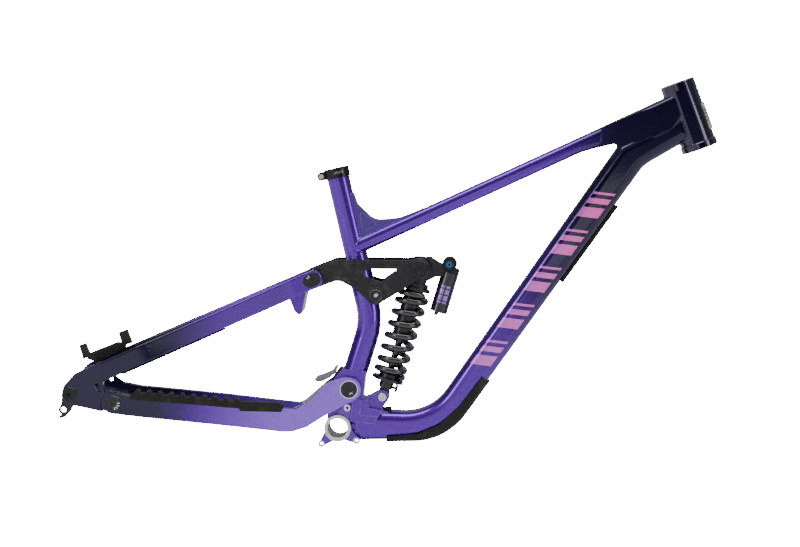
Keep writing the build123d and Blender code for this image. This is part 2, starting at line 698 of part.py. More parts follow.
def hanger_outline():
    shape = outline((-466, 14, 6), (-444, 16, 6), (-442, -6, 8), (-447, -20, 6), (-455, -31, 4), (-464, -35, 2),
                    (-466, -31, 2), (-461, -27), (-468, -22, 5), (-464, -8))
    return shape + disc(REAR_AXLE, 11.0) + disc(EYE, 8.2)


def hanger_seat():
    """Pocket in the right dropout that the hanger lies in."""
    return slab(offset(hanger_outline(), SEAT_FIT), -HUB_HALF - HANGER_THICK - SEAT_FIT, 0)


def derailleur_hanger():
    body = slab(hanger_outline(), -HUB_HALF - HANGER_THICK, -HUB_HALF)
    body -= rod(EYE, EYE_BORE_R, -DROPOUT_OUTER - 8, 0)
    body -= rod(REAR_AXLE, AXLE_BORE_R, -DROPOUT_OUTER - 8, 0)
    return biggest(body)


HANGER_FLANGE_R = 12.6


def hanger_bolt():
    ring = rod(REAR_AXLE, 9.0, -DROPOUT_OUTER, -HUB_HALF - HANGER_THICK)
    lip = rod(REAR_AXLE, HANGER_FLANGE_R, -DROPOUT_OUTER - 2.6, -DROPOUT_OUTER)
    rim = lip.edges().filter_by(lambda e: abs(e.center().Y + DROPOUT_OUTER + 2.6) < 1e-3)
    lip = chamfer(rim, 0.9) - rod(REAR_AXLE, 9.2, -DROPOUT_OUTER - 3, -DROPOUT_OUTER - 1.4)
    return ring + lip - rod(REAR_AXLE, AXLE_BORE_R, -DROPOUT_OUTER - 18, 0)


def rear_axle():
    """Thru-axle, threaded into the hanger, with a hexagon socket at each end."""
    end = DROPOUT_OUTER - 0.5
    body = rod(REAR_AXLE, AXLE_BORE_R - SEAT_FIT, -end, DROPOUT_OUTER)
    body += rod(REAR_AXLE, 9.5, DROPOUT_OUTER, DROPOUT_OUTER + 2.2)
    body -= rod(REAR_AXLE, 3.2, -60, 60)
    body -= hex_key(REAR_AXLE, 6.0, -DROPOUT_OUTER - 18, -end + 8)
    return body - hex_key(REAR_AXLE, 6.0, DROPOUT_OUTER - 6, DROPOUT_OUTER + 18)


def seatstay_protector():
    n = (-STAY_BACK[1], STAY_BACK[0])
    under = along(STAY_PIVOT, n, STAY_TALL / 2)
    a = along(under, STAY_BACK, 166)
    b = along(under, STAY_BACK, 352)
    strip = outline(along(a, n, -1), along(a, n, 2.4), along(b, n, 2.4), along(b, n, -1))
    bar = stay_bar(0)
    if bar.center().Y > 0:
        bar = mirror(bar, Plane.XZ)
    lane = extrude(STAY_PLANE * stay_plan(2.5), amount=40, both=True)
    if lane.center().Y > 0:
        lane = mirror(lane, Plane.XZ)
    return biggest((slab(strip, -100, 0) & lane) - bar)


# ---------- rocker ----------
ROCKER_EYE_R = 15.2


def rocker_outline():
    body = outline(
        along(STAY_PIVOT, (-0.5, 0.866), 16.5), (-37, 282.6, 30), (86, 296.7, 20), (98, 300.8),
        along(SHOCK_TOP, (0, 1), 15.6), SHOCK_TOP, along(SHOCK_TOP, (0.611, -0.792), 14.6),
        along(ROCKER_PIVOT, (0.611, -0.792), ROCKER_EYE_R), ROCKER_PIVOT,
        along(ROCKER_PIVOT, (-0.68, -0.73), ROCKER_EYE_R),
        (1, 238.5, 30), (-28, 249.5, 20), along(STAY_PIVOT, (0.6, -0.8), 16.5), STAY_PIVOT,
    )
    return body + disc(STAY_PIVOT, 16.5) + disc(ROCKER_PIVOT, ROCKER_EYE_R) + disc(SHOCK_TOP, 15.6)


BRIDGE = (62.0, 251.0)
BRIDGE_R = 6.0


POCKET_RIM = 6.5
POCKET_DEPTH = 1.6
UPPER_HEAD_R = 12.4


def rocker_plate_left():
    body = slab(rocker_outline(), PLATE_INNER, PLATE_OUTER)
    window = outline((14.5, 273.8, 3), (73, 280.2, 2), (44.5, 255, 3), (34.6, 256.5, 3), (15.5, 260.6, 3))
    body -= slab(window, 0, 99)
    pocket = offset(rocker_outline(), -POCKET_RIM) - offset(window, POCKET_RIM - 1)
    for centre, radius in ((ROCKER_PIVOT, 14.5), (SHOCK_TOP, 17.0), (STAY_PIVOT, 22.0)):
        pocket -= disc(centre, radius)
    body -= slab(pocket, PLATE_OUTER - POCKET_DEPTH, PLATE_OUTER + 1)
    body += rod(SHOCK_TOP, 12.0, TOP_EYE_HALF + SIDE, PLATE_INNER)
    body -= rod(SHOCK_TOP, SHOCK_BOLT_R + SEAT_FIT, 0, 99)
    body -= rod(SHOCK_TOP, UPPER_HEAD_R + SEAT_FIT, PLATE_OUTER - 2, 99)
    body -= rod(ROCKER_PIVOT, SMALL_BEARING_R + SEAT_FIT, 0, 99)
    body -= rod(STAY_PIVOT, OPEN_BORE_R, 0, 99)
    return biggest(body)


def rocker_bridge():
    half = PLATE_INNER
    return rod(BRIDGE, BRIDGE_R, -half, half) - rod(BRIDGE, 2.5, -half - 1, half + 1)


def rocker_bearings():
    ring = rod(ROCKER_PIVOT, SMALL_BEARING_R, PLATE_INNER, PLATE_OUTER - 1.6)
    return pair(ring - rod(ROCKER_PIVOT, SMALL_AXLE_R + RUN, 0, 99))


def shock_upper_bolt():
    half = PLATE_OUTER - 2
    shaft = rod(SHOCK_TOP, SHOCK_BOLT_R, -half, half)
    head = pivot_cap(SHOCK_TOP, UPPER_HEAD_R, half, 2.4, 5.0)
    return biggest(shaft + head + mirror(head, Plane.XZ))


# ---------- shock ----------
ROD_R = 6.0
TUBE_R = 15.5
TUBE_FOOT = 104.0                 # heights along the shock from its lower eye
TUBE_HEAD = 205.0
RETAINER_TOP = 33.0
SPRING_TOP = 190.0
RES_X = 49.0
RES_R = 14.8
RES_FOOT = 165.0
RES_HEAD = 235.0
ARM_HALF = 11.0                   # half width of the arm to the reservoir
KNOB_X = 44.0
KNOB_UP = 248.5
KNOB_R = 12.0


def lower_eyelet():
    body = rod(SHOCK_LOW, 10.5, -SHOCK_EYE_HALF, SHOCK_EYE_HALF)
    neck = SHOCK.location * Pos(0, 0, 12) * Box(18, 2 * SHOCK_EYE_HALF - 2, 18)
    wide = axial(SHOCK, 11.9, 15.5, 28)
    body = body + neck + wide
    body -= axial(SHOCK, ROD_R + SEAT_FIT, 20, 40)
    body -= rod(SHOCK_LOW, SHOCK_BOLT_R + RUN, -60, 60)
    return biggest(body - rebound_core(2.5 + RUN))


def rebound_core(radius):
    return SHOCK.location * Pos(12.5, 0, 19) * Rot(0, 90, 0) * Cylinder(radius, 7)


def rebound_knob():
    wheel = SHOCK.location * Pos(18.4, 0, 19) * Rot(0, 90, 0) * Cylinder(6.5, 5)
    body = rebound_core(2.5) + wheel
    for i in range(10):
        notch = SHOCK.location * Pos(18.6, 0, 19) * Rot(0, 90, 0) * Rot(0, 0, 36 * i) * Pos(6.9, 0, 0) * Cylinder(1, 6)
        body -= notch
    return body


def spring_retainer():
    ring = axial(SHOCK, 27.0, 28, RETAINER_TOP) + axial(SHOCK, SPRING_R - WIRE_R - 0.6, 28, RETAINER_TOP + 7)
    return ring - axial(SHOCK, 12.0, 20, 60)


def shock_rod():
    return axial(SHOCK, ROD_R, 20, 134)


def bump_stop():
    return axial(SHOCK, 11.4, RETAINER_TOP - 5, 42.5) - axial(SHOCK, ROD_R + 0.3, 20, 60)


def coil_spring():
    foot = RETAINER_TOP + WIRE_R + 0.2
    height = SPRING_TOP - WIRE_R - 0.4 - foot
    path = Helix(SPRING_PITCH, height, SPRING_R)
    start = path @ 0
    section = Plane(origin=start, z_dir=path % 0) * Circle(WIRE_R)
    return SHOCK.location * Pos(0, 0, foot) * Rot(0, 0, SPRING_TURN) * sweep(section, path=path, is_frenet=True)


def damper_tube():
    body = axial(SHOCK, TUBE_R, TUBE_FOOT, TUBE_HEAD)
    body -= axial(SHOCK, 12.8, TUBE_FOOT + 6, TUBE_HEAD - 6)
    return body - axial(SHOCK, ROD_R + RUN, TUBE_FOOT - 1, TUBE_FOOT + 10)


def preload_collar():
    ring = axial(SHOCK, 26.0, SPRING_TOP, SPRING_TOP + 5) + axial(SHOCK, 21.0, SPRING_TOP, SPRING_TOP + 12)
    for i in range(8):
        notch = SHOCK.location * Rot(0, 0, 45 * i) * Pos(26.5, 0, SPRING_TOP + 2.5) * Cylinder(2.2, 12)
        ring -= notch
    return biggest(ring - axial(SHOCK, TUBE_R + RUN, 150, 220))


def shock_head():
    body = axial(SHOCK, 15.5, TUBE_HEAD, 222) & (SHOCK.location * Pos(0, 0, 213) * Box(31, 2 * TOP_EYE_HALF, 30))
    body += rod(SHOCK_TOP, 14.0, -TOP_EYE_HALF, TOP_EYE_HALF)
    arm = outline((98, 280), (96, 298, 3), (121, 305, 4), (138, 296.5, 3), (150, 294), (160, 278),
                  (134, 273, 4), (118, 262, 6), (104, 262))
    body += slab(arm, -ARM_HALF, ARM_HALF)
    body += SHOCK.location * Pos(KNOB_X, 0, KNOB_UP) * Rot(90, 0, 0) * Cylinder(12.4, 2 * ARM_HALF)
    cap = axial(Plane(SHOCK.location * Pos(RES_X, 0, 0)), RES_R, RES_HEAD, RES_HEAD + 9)
    body += cap & slab(Pos(150, 280) * Rectangle(90, 90), -ARM_HALF, ARM_HALF)
    body -= axial(Plane(SHOCK.location * Pos(RES_X, 0, 0)), RES_R, RES_FOOT, RES_HEAD)
    body -= rod(SHOCK_TOP, OPEN_BORE_R, -60, 60)
    return biggest(body)


def reservoir():
    body = axial(Plane(SHOCK.location * Pos(RES_X, 0, 0)), RES_R, RES_FOOT, RES_HEAD)
    return body - axial(Plane(SHOCK.location * Pos(RES_X, 0, 0)), RES_R - 2.2, RES_FOOT + 6, RES_HEAD - 4)


def reservoir_valve_cap():
    return axial(Plane(SHOCK.location * Pos(RES_X - 3, 0, 0)), 3.6, RES_FOOT - 6.5, RES_FOOT)


def compression_knob():
    spot = SHOCK.location * Pos(KNOB_X, -ARM_HALF - SIDE - 4, KNOB_UP) * Rot(90, 0, 0)
    body = spot * Cylinder(KNOB_R, 8)
    for i in range(16):
        body -= spot * Rot(0, 0, 22.5 * i) * Pos(KNOB_R + 0.5, 0, 0) * Cylinder(1.2, 10)
    return body


# ---------- make every piece ----------
keep("head_tube", head_tube())
keep("head_tube_gusset", head_tube_gusset())
keep("down_tube", down_tube())
keep("top_tube", top_tube())
keep("seat_tube", seat_tube())
keep("rocker_pivot_boss", rocker_pivot_boss() - SEAT_SOLID + (rocker_pivot_boss() & SEAT_SOLID))
keep("seat_tube_gusset", seat_tube_gusset())
keep("bottom_bracket_shell", bottom_bracket_shell())
keep("main_pivot_yoke", YOKE)
keep("chain_guide_bosses", chain_guide_bosses())
keep("head_badge", head_badge())
keep("seat_clamp_collar", seat_clamp_collar())
keep("seat_clamp_bolt", seat_clamp_bolt())
keep("down_tube_lower_guard", down_tube_lower_guard())
keep("down_tube_upper_pad", down_tube_upper_pad())
keep("mud_flap_base", mud_flap_base())
keep("mud_flap_tongue", mud_flap_tongue())
keep("cable_grommet", cable_grommet())
keep("main_pivot_axle", main_pivot_axle())
keep("main_pivot_caps", main_pivot_caps())
keep("rocker_pivot_axle", rocker_pivot_axle())
keep("rocker_pivot_caps", rocker_pivot_caps())
keep("shock_lower_bolt", shock_lower_bolt())

CHAIN_YOKE = chainstay_yoke()
STAY_LEFT = chainstay_left()
STAY_RIGHT = mirror(STAY_LEFT, Plane.XZ)
keep("chainstay_yoke", CHAIN_YOKE)
keep("chainstay_left", STAY_LEFT)
keep("chainstay_right", STAY_RIGHT)
keep("main_pivot_bearings", main_pivot_bearings())
keep("rear_pivot_bolts", rear_pivot_bolts())
keep("chainstay_protector", chainstay_protector())
keep("yoke_edge_strip", yoke_edge_strip())

DROPOUT = dropout_left()
SEATSTAY_LEFT = biggest(seatstay() - DROPOUT)
keep("seatstay_left", SEATSTAY_LEFT)
keep("seatstay_right", mirror(SEATSTAY_LEFT, Plane.XZ))
keep("seatstay_bridge", seatstay_bridge())
keep("dropout_left", DROPOUT - rod(REAR_AXLE, AXLE_BORE_R, 0, 100))
keep("dropout_right", biggest(mirror(DROPOUT, Plane.XZ) - rod(REAR_AXLE, 9.0 + SEAT_FIT, -100, 0) - hanger_seat()))
keep("rear_pivot_bearings", rear_pivot_bearings())
keep("brake_mount", brake_mount() - DROPOUT - SEATSTAY_LEFT)
keep("derailleur_hanger", derailleur_hanger())
keep("hanger_bolt", hanger_bolt())
keep("rear_axle", rear_axle())
keep("seatstay_protector", seatstay_protector())
keep("seatstay_pivot_caps", seatstay_pivot_caps())
keep("seatstay_pivot_pins", seatstay_pivot_pins())

PLATE = rocker_plate_left()
keep("rocker_plate_left", PLATE)
keep("rocker_plate_right", mirror(PLATE, Plane.XZ))
keep("rocker_bridge", rocker_bridge())
keep("rocker_bearings", rocker_bearings())
keep("shock_upper_bolt", shock_upper_bolt())

keep("lower_eyelet", lower_eyelet())
keep("rebound_knob", rebound_knob())
keep("spring_retainer", spring_retainer())
keep("shock_rod", shock_rod())
keep("bump_stop", bump_stop())
keep("coil_spring", coil_spring())
keep("damper_tube", damper_tube())
keep("preload_collar", preload_collar())
keep("shock_head", shock_head())
keep("reservoir", reservoir())
keep("reservoir_valve_cap", reservoir_valve_cap())
keep("compression_knob", compression_knob())

os.makedirs("parts", exist_ok=True)
for name, shape in OUT.items():
    export_step(shape, f"parts/{name}.step")
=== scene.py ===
import json
import math

import bmesh
import bpy
from mathutils import Matrix, Vector
from mathutils.bvhtree import BVHTree


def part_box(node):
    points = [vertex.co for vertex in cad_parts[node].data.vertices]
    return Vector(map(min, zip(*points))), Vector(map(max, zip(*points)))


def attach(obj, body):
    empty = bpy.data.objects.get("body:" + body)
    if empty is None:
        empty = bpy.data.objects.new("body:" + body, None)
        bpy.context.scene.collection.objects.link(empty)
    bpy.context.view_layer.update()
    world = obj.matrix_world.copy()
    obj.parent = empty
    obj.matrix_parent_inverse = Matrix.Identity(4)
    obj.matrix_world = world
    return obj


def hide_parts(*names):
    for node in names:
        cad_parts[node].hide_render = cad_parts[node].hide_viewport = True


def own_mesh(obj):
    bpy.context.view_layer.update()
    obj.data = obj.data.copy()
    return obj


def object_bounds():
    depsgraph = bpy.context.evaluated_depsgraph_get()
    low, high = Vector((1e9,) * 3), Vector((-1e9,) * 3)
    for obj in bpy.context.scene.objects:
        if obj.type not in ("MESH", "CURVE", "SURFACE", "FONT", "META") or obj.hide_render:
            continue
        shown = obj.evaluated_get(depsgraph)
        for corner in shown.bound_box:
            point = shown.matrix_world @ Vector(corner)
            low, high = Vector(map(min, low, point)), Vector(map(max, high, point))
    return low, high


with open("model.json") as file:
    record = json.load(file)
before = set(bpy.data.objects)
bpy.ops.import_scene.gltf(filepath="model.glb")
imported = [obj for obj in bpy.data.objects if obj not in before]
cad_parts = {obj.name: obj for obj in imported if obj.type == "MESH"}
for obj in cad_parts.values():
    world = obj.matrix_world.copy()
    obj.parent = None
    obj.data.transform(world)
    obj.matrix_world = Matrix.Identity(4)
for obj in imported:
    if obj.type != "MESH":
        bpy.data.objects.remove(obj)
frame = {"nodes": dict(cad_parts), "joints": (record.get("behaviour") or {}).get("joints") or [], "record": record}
NODES = frame["nodes"]
JOINTS = {j["name"]: j for j in frame["joints"]}
LOW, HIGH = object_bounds()                     # the CAD box


MM = 0.001

# ---------- datums: joints and mounts from the pack, and a few fixed places ----------
MOUNTS = {m["name"]: m for m in frame["record"]["mounts"]}
MAIN = Vector(JOINTS["main_pivot"]["pos_m"])
REAR = Vector(JOINTS["rear_pivot"]["pos_m"])
ROCKER = Vector(JOINTS["rocker_pivot"]["pos_m"])
STAY = Vector((-0.0715, 0, 0.2452))         # seatstay to rocker
JOINT_X = -0.075                            # where the chainstays meet their yoke
EYE_LOW = Vector(JOINTS["shock_eye"]["pos_m"])
SHOCK_UP = -Vector(JOINTS["shock_stroke"]["axis"]).normalized()
SHOCK_FWD = Vector((SHOCK_UP.z, 0, -SHOCK_UP.x))
HEAD_UP = Vector(MOUNTS["headset_upper"]["axis"]).normalized()
HEAD_TOP = Vector(MOUNTS["headset_upper"]["pos_m"]) + HEAD_UP * 0.009
SEAT_UP = Vector(MOUNTS["seatpost"]["axis"]).normalized()
DOWN_FROM = Vector((0.1835, 0, 0.0025))     # foot of the straight run of the down tube
DOWN_DIR = Vector((0.275, 0, 0.4985)).normalized()


def shock_point(x, y, z):
    return EYE_LOW + SHOCK_FWD * x + Vector((0, y, 0)) + SHOCK_UP * z


# ---------- camera, floor and light ----------
def make_camera():
    data = bpy.data.cameras.new("camera")
    data.lens = 137.66
    data.sensor_width = 36.0
    data.clip_end = 60.0
    cam = bpy.data.objects.new("camera", data)
    bpy.context.scene.collection.objects.link(cam)
    tilt = math.radians(6.7)
    turn = math.atan(140 / 3059)
    dip = math.atan(253.5 / 3059)
    ahead = Vector((-math.sin(turn) * math.cos(dip), math.cos(turn) * math.cos(dip), -math.sin(dip)))
    right = Vector((math.cos(turn), math.sin(turn), 0))
    above = right.cross(ahead)
    level = Matrix.Rotation(-tilt, 3, "Y")
    rot = Matrix((level @ right, level @ above, -(level @ ahead))).transposed()
    cam.matrix_world = Matrix.Translation((0.257232, -5.151035, 0.722107)) @ rot.to_4x4()
    bpy.context.scene.camera = cam


def area_light(name, place, aim, size, power, colour=(1, 1, 1)):
    data = bpy.data.lights.new(name, "AREA")
    data.shape = "RECTANGLE"
    data.size, data.size_y = size
    data.energy = power
    data.color = colour
    lamp = bpy.data.objects.new(name, data)
    bpy.context.scene.collection.objects.link(lamp)
    lamp.location = place
    lamp.rotation_euler = (Vector(aim) - Vector(place)).to_track_quat("-Z", "Y").to_euler()
    return lamp


# ---------- node helpers ----------
class Tree:
    """Adds and links the nodes of one node tree."""

    def __init__(self, tree):
        self.tree = tree

    def add(self, kind, ins=None, **props):
        item = self.tree.nodes.new(kind)
        for key, value in props.items():
            setattr(item, key, value)
        for key, value in (ins or {}).items():
            self.put(item.inputs[key], value)
        return item

    def put(self, socket, value):
        if isinstance(value, bpy.types.NodeSocket):
            self.tree.links.new(value, socket)
        else:
            socket.default_value = value

    def math(self, op, a, b=0.0, c=0.0, clamp=False):
        item = self.add("ShaderNodeMath", operation=op, use_clamp=clamp)
        for i, value in enumerate((a, b, c)):
            self.put(item.inputs[i], value)
        return item.outputs[0]

    def step(self, value, start, end):
        """0 before start, 1 after end, smooth between."""
        item = self.add("ShaderNodeMapRange", interpolation_type="SMOOTHSTEP")
        for key, v in (("Value", value), ("From Min", start), ("From Max", end)):
            self.put(item.inputs[key], v)
        return item.outputs["Result"]

    def band(self, value, low, high, soft):
        """1 between low and high."""
        rise = self.step(value, low - soft, low + soft)
        fall = self.step(value, high - soft, high + soft)
        return self.math("SUBTRACT", rise, fall, clamp=True)

    def mix(self, factor, a, b):
        item = self.add("ShaderNodeMix", data_type="RGBA")
        self.put(item.inputs[0], factor)
        self.put(item.inputs[6], a)
        self.put(item.inputs[7], b)
        return item.outputs[2]

    def lerp(self, factor, a, b):
        item = self.add("ShaderNodeMix", data_type="FLOAT")
        self.put(item.inputs[0], factor)
        self.put(item.inputs[2], a)
        self.put(item.inputs[3], b)
        return item.outputs[0]

    def dot(self, vector, direction, origin=(0, 0, 0)):
        shift = self.add("ShaderNodeVectorMath", operation="SUBTRACT")
        self.put(shift.inputs[0], vector)
        shift.inputs[1].default_value = origin
        item = self.add("ShaderNodeVectorMath", operation="DOT_PRODUCT")
        self.tree.links.new(shift.outputs[0], item.inputs[0])
        item.inputs[1].default_value = direction
        return item.outputs["Value"]

    def here(self):
        return self.add("ShaderNodeTexCoord").outputs["Object"]


def new_group(name, ins, outs):
    """An empty shader group with the named inputs (name, kind, value) and outputs (name, kind)."""
    tree = bpy.data.node_groups.new(name, "ShaderNodeTree")
    for label, kind, value in ins:
        socket = tree.interface.new_socket(label, in_out="INPUT", socket_type=kind)
        socket.default_value = value
    for label, kind in outs:
        tree.interface.new_socket(label, in_out="OUTPUT", socket_type=kind)
    t = Tree(tree)
    return t, t.add("NodeGroupInput"), t.add("NodeGroupOutput")


def use(t, tree, **ins):
    item = t.add("ShaderNodeGroup", node_tree=tree)
    for key, value in ins.items():
        t.put(item.inputs[key.replace("_", " ")], value)
    return item


FLOAT, COLOUR, VECTOR = "NodeSocketFloat", "NodeSocketColor", "NodeSocketVector"


def grain_group():
    """Fine moulded or blasted surface: a normal and a mottling mask."""
    t, gin, gout = new_group("grain", [("Scale", FLOAT, 900.0), ("Depth", FLOAT, 0.15)],
                             [("Normal", VECTOR), ("Mask", FLOAT)])
    noise = t.add("ShaderNodeTexNoise", {"Vector": t.here(), "Scale": gin.outputs["Scale"], "Detail": 3.0,
                                         "Roughness": 0.6})
    bump = t.add("ShaderNodeBump", {"Strength": gin.outputs["Depth"], "Distance": 0.0004,
                                    "Height": noise.outputs["Fac"]})
    t.put(gout.inputs["Normal"], bump.outputs["Normal"])
    t.put(gout.inputs["Mask"], noise.outputs["Fac"])
    return t.tree


def wear_and_highlight_group():
    """An edge mask from the bevel normal, broken up by noise, which the finishes use as painted edge highlight and
    rubbed edges, and handling marks on the faces.
    """
    t, gin, gout = new_group("wear_and_highlight", [("Radius", FLOAT, 0.0008), ("Scale", FLOAT, 60.0)],
                             [("Edge", FLOAT), ("Marks", FLOAT), ("Normal", VECTOR)])
    bevel = t.add("ShaderNodeBevel", {"Radius": gin.outputs["Radius"]}, samples=4)
    true = t.add("ShaderNodeNewGeometry").outputs["Normal"]
    match = t.add("ShaderNodeVectorMath", {0: bevel.outputs[0], 1: true}, operation="DOT_PRODUCT")
    edge = t.step(match.outputs["Value"], 0.985, 0.86)
    noise = t.add("ShaderNodeTexNoise", {"Vector": t.here(), "Scale": gin.outputs["Scale"], "Detail": 6.0,
                                         "Roughness": 0.68})
    broken = t.step(noise.outputs["Fac"], 0.36, 0.6)
    # Edge: the rounded edges, used as painted highlight in the paint and black finishes, broken by noise like
    # rubbing
    t.put(gout.inputs["Edge"], t.math("MULTIPLY", edge, broken))
    t.put(gout.inputs["Marks"], t.step(noise.outputs["Fac"], 0.45, 0.75))
    t.put(gout.inputs["Normal"], bevel.outputs[0])
    return t.tree


def turned_group():
    """Rings left by turning about the Y axis through a centre."""
    t, gin, gout = new_group("turned", [("Centre", VECTOR, (0, 0, 0)), ("Pitch", FLOAT, 0.0005)],
                             [("Mask", FLOAT), ("Normal", VECTOR)])
    shift = t.add("ShaderNodeVectorMath", {0: t.here(), 1: gin.outputs["Centre"]}, operation="SUBTRACT")
    flat = t.add("ShaderNodeVectorMath", {0: shift.outputs[0], 1: (1, 0, 1)}, operation="MULTIPLY")
    radius = t.add("ShaderNodeVectorMath", {0: flat.outputs[0]}, operation="LENGTH")
    turns = t.math("DIVIDE", radius.outputs["Value"], gin.outputs["Pitch"])
    wave = t.math("SINE", t.math("MULTIPLY", turns, 6.2832))
    mask = t.math("MULTIPLY_ADD", wave, 0.5, 0.5)
    bump = t.add("ShaderNodeBump", {"Strength": 0.12, "Distance": 0.00008, "Height": mask})
    t.put(gout.inputs["Mask"], mask)
    t.put(gout.inputs["Normal"], bump.outputs["Normal"])
    return t.tree


PURPLE = (0.088, 0.0080, 0.34, 1)
LILAC = (0.22, 0.07, 0.64, 1)
# lilac of the painted edge highlights
EDGE_HIGHLIGHT_LILAC = (0.50, 0.36, 0.95, 1)
NAVY = (0.0062, 0.0032, 0.030, 1)


def fade_group():
    """The paint's colour: purple in the middle, navy towards the head tube and the dropouts."""
    t, gin, gout = new_group("fade", [], [("Color", COLOUR), ("Navy", FLOAT)])
    here = t.here()
    drift = t.add("ShaderNodeTexNoise", {"Vector": here, "Scale": 9.0, "Detail": 2.0}).outputs["Fac"]
    soft = t.math("MULTIPLY", t.math("SUBTRACT", drift, 0.5), 0.03)
    front = t.math("ADD", t.dot(here, (0.981, 0, -0.195)), soft)
    rear = t.math("ADD", t.dot(here, (-1, 0, 0)), soft)
    navy = t.math("MAXIMUM", t.step(front, 0.176, 0.292), t.step(rear, 0.19, 0.315))
    flake = t.add("ShaderNodeTexVoronoi", {"Vector": here, "Scale": 1900.0}).outputs["Color"]
    spark = t.add("ShaderNodeSeparateColor", {"Color": flake}).outputs[0]
    base = t.mix(t.math("MULTIPLY", t.step(spark, 0.55, 1.0), 0.16), PURPLE, LILAC)
    dark = t.mix(t.math("MULTIPLY", t.step(spark, 0.55, 1.0), 0.12), NAVY, (0.05, 0.035, 0.16, 1))
    t.put(gout.inputs["Color"], t.mix(navy, base, dark))
    t.put(gout.inputs["Navy"], navy)
    return t.tree


GRAIN, WEAR_AND_HIGHLIGHT, TURNED, FADE = grain_group(), wear_and_highlight_group(), turned_group(), fade_group()


def material(name, shader_inputs, build):
    """A Principled material. build(tree, shader, out) links what varies over the surface."""
    mat = bpy.data.materials.new(name)
    mat.use_nodes = True
    mat.node_tree.nodes.clear()
    t = Tree(mat.node_tree)
    shader = t.add("ShaderNodeBsdfPrincipled", shader_inputs)
    out = t.add("ShaderNodeOutputMaterial", {"Surface": shader.outputs[0]})
    build(t, shader, out)
    return mat


# ---------- finishes ----------
def paint_over(t, shader, colour, extra_rough=None):
    """Metallic flake under clear lacquer, with faint orange peel and haze, and lilac painted highlights along the
    edges.
    """
    here = t.here()
    haze = t.add("ShaderNodeTexNoise", {"Vector": here, "Scale": 22.0, "Detail": 5.0}).outputs["Fac"]
    peel = t.add("ShaderNodeTexNoise", {"Vector": here, "Scale": 420.0, "Detail": 1.0}).outputs["Fac"]
    coat = t.add("ShaderNodeBump", {"Strength": 0.05, "Distance": 0.0006, "Height": peel})
    wear_and_highlight = use(t, WEAR_AND_HIGHLIGHT, Radius=0.0016, Scale=30.0)
    # painted edge highlight: edges lightened toward lilac, less in the navy zones
    share = t.math("MULTIPLY_ADD", use(t, FADE).outputs["Navy"], -0.50, 0.58)
    painted_edge_highlight = t.math("MULTIPLY", wear_and_highlight.outputs["Edge"], share)
    t.put(shader.inputs["Base Color"], t.mix(painted_edge_highlight, colour, EDGE_HIGHLIGHT_LILAC))
    t.put(shader.inputs["Roughness"], t.lerp(haze, 0.24, 0.34))
    t.put(shader.inputs["Coat Roughness"], t.lerp(haze, 0.02, 0.07))
    t.put(shader.inputs["Coat Normal"], coat.outputs["Normal"])


PAINT_BASE = {"Metallic": 0.88, "Coat Weight": 0.75, "Coat IOR": 1.45}


def frame_paint():
    def build(t, shader, out):
        paint_over(t, shader, use(t, FADE).outputs["Color"])
    return material("frame_paint", PAINT_BASE, build)


def from_axis(t, centre):
    """Distance from a line along Y through the centre, and the distance off the middle plane."""
    xyz = t.add("ShaderNodeSeparateXYZ", {0: t.here()})
    dx, dz = (t.math("SUBTRACT", xyz.outputs[axis], centre[i]) for axis, i in (("X", 0), ("Z", 2)))
    away = t.math("SQRT", t.math("ADD", t.math("MULTIPLY", dx, dx), t.math("MULTIPLY", dz, dz)))
    return away, t.math("ABSOLUTE", xyz.outputs["Y"])


def swingarm_paint():
    """Frame paint of the lower arms, lightened towards the front as painted sheen, with a painted lavender
    highlight ring round each main pivot cap.
    """
    def build(t, shader, out):
        away, side = from_axis(t, MAIN)
        along = t.add("ShaderNodeSeparateXYZ", {0: t.here()}).outputs["X"]
        # painted highlight: a lavender ring round each main pivot cap, on the outer faces
        ring = t.math("MULTIPLY", t.band(away, 0.0138, 0.0156, 0.0004), t.step(side, 0.030, 0.034))
        joint = t.band(along, JOINT_X - 0.0005, JOINT_X + 0.0005, 0.0004)
        # painted sheen: the arms lightened towards the front
        pale = t.mix(t.math("MULTIPLY", t.step(along, -0.26, -0.06), 0.62), use(t, FADE).outputs["Color"],
                     (0.33, 0.165, 0.88, 1))
        pale = t.mix(t.math("MULTIPLY", joint, 0.7), pale, PURPLE)
        paint_over(t, shader, t.mix(t.math("MULTIPLY", ring, 0.85), pale, (0.75, 0.65, 1.0, 1)))
    return material("swingarm_paint", PAINT_BASE, build)


def panel_paint():
    """Frame paint darkened with painted shade over the pressed recess of the seat tube gusset."""
    def build(t, shader, out):
        shade_mottle = use(t, GRAIN, Scale=14.0, Depth=0.0)
        # painted shade of the recess, mottled by the coarse noise
        shade = t.lerp(shade_mottle.outputs["Mask"], 0.62, 0.86)
        darker = t.mix(shade, use(t, FADE).outputs["Color"], (0.020, 0.004, 0.15, 1))
        paint_over(t, shader, darker)
    return material("panel_paint", PAINT_BASE, build)


def bolt_face():
    """Bright bolt centre in a dark washer."""
    def build(t, shader, out):
        grain = use(t, GRAIN, Scale=2200.0, Depth=0.1)
        bright = t.step(from_axis(t, EYE_LOW)[0], 0.0078, 0.0072)
        t.put(shader.inputs["Base Color"], t.mix(bright, (0.05, 0.035, 0.12, 1), (0.62, 0.61, 0.59, 1)))
        t.put(shader.inputs["Roughness"], t.lerp(grain.outputs["Mask"], 0.22, 0.36))
        t.put(shader.inputs["Normal"], grain.outputs["Normal"])
    return material("bolt_face", {"Metallic": 0.9}, build)


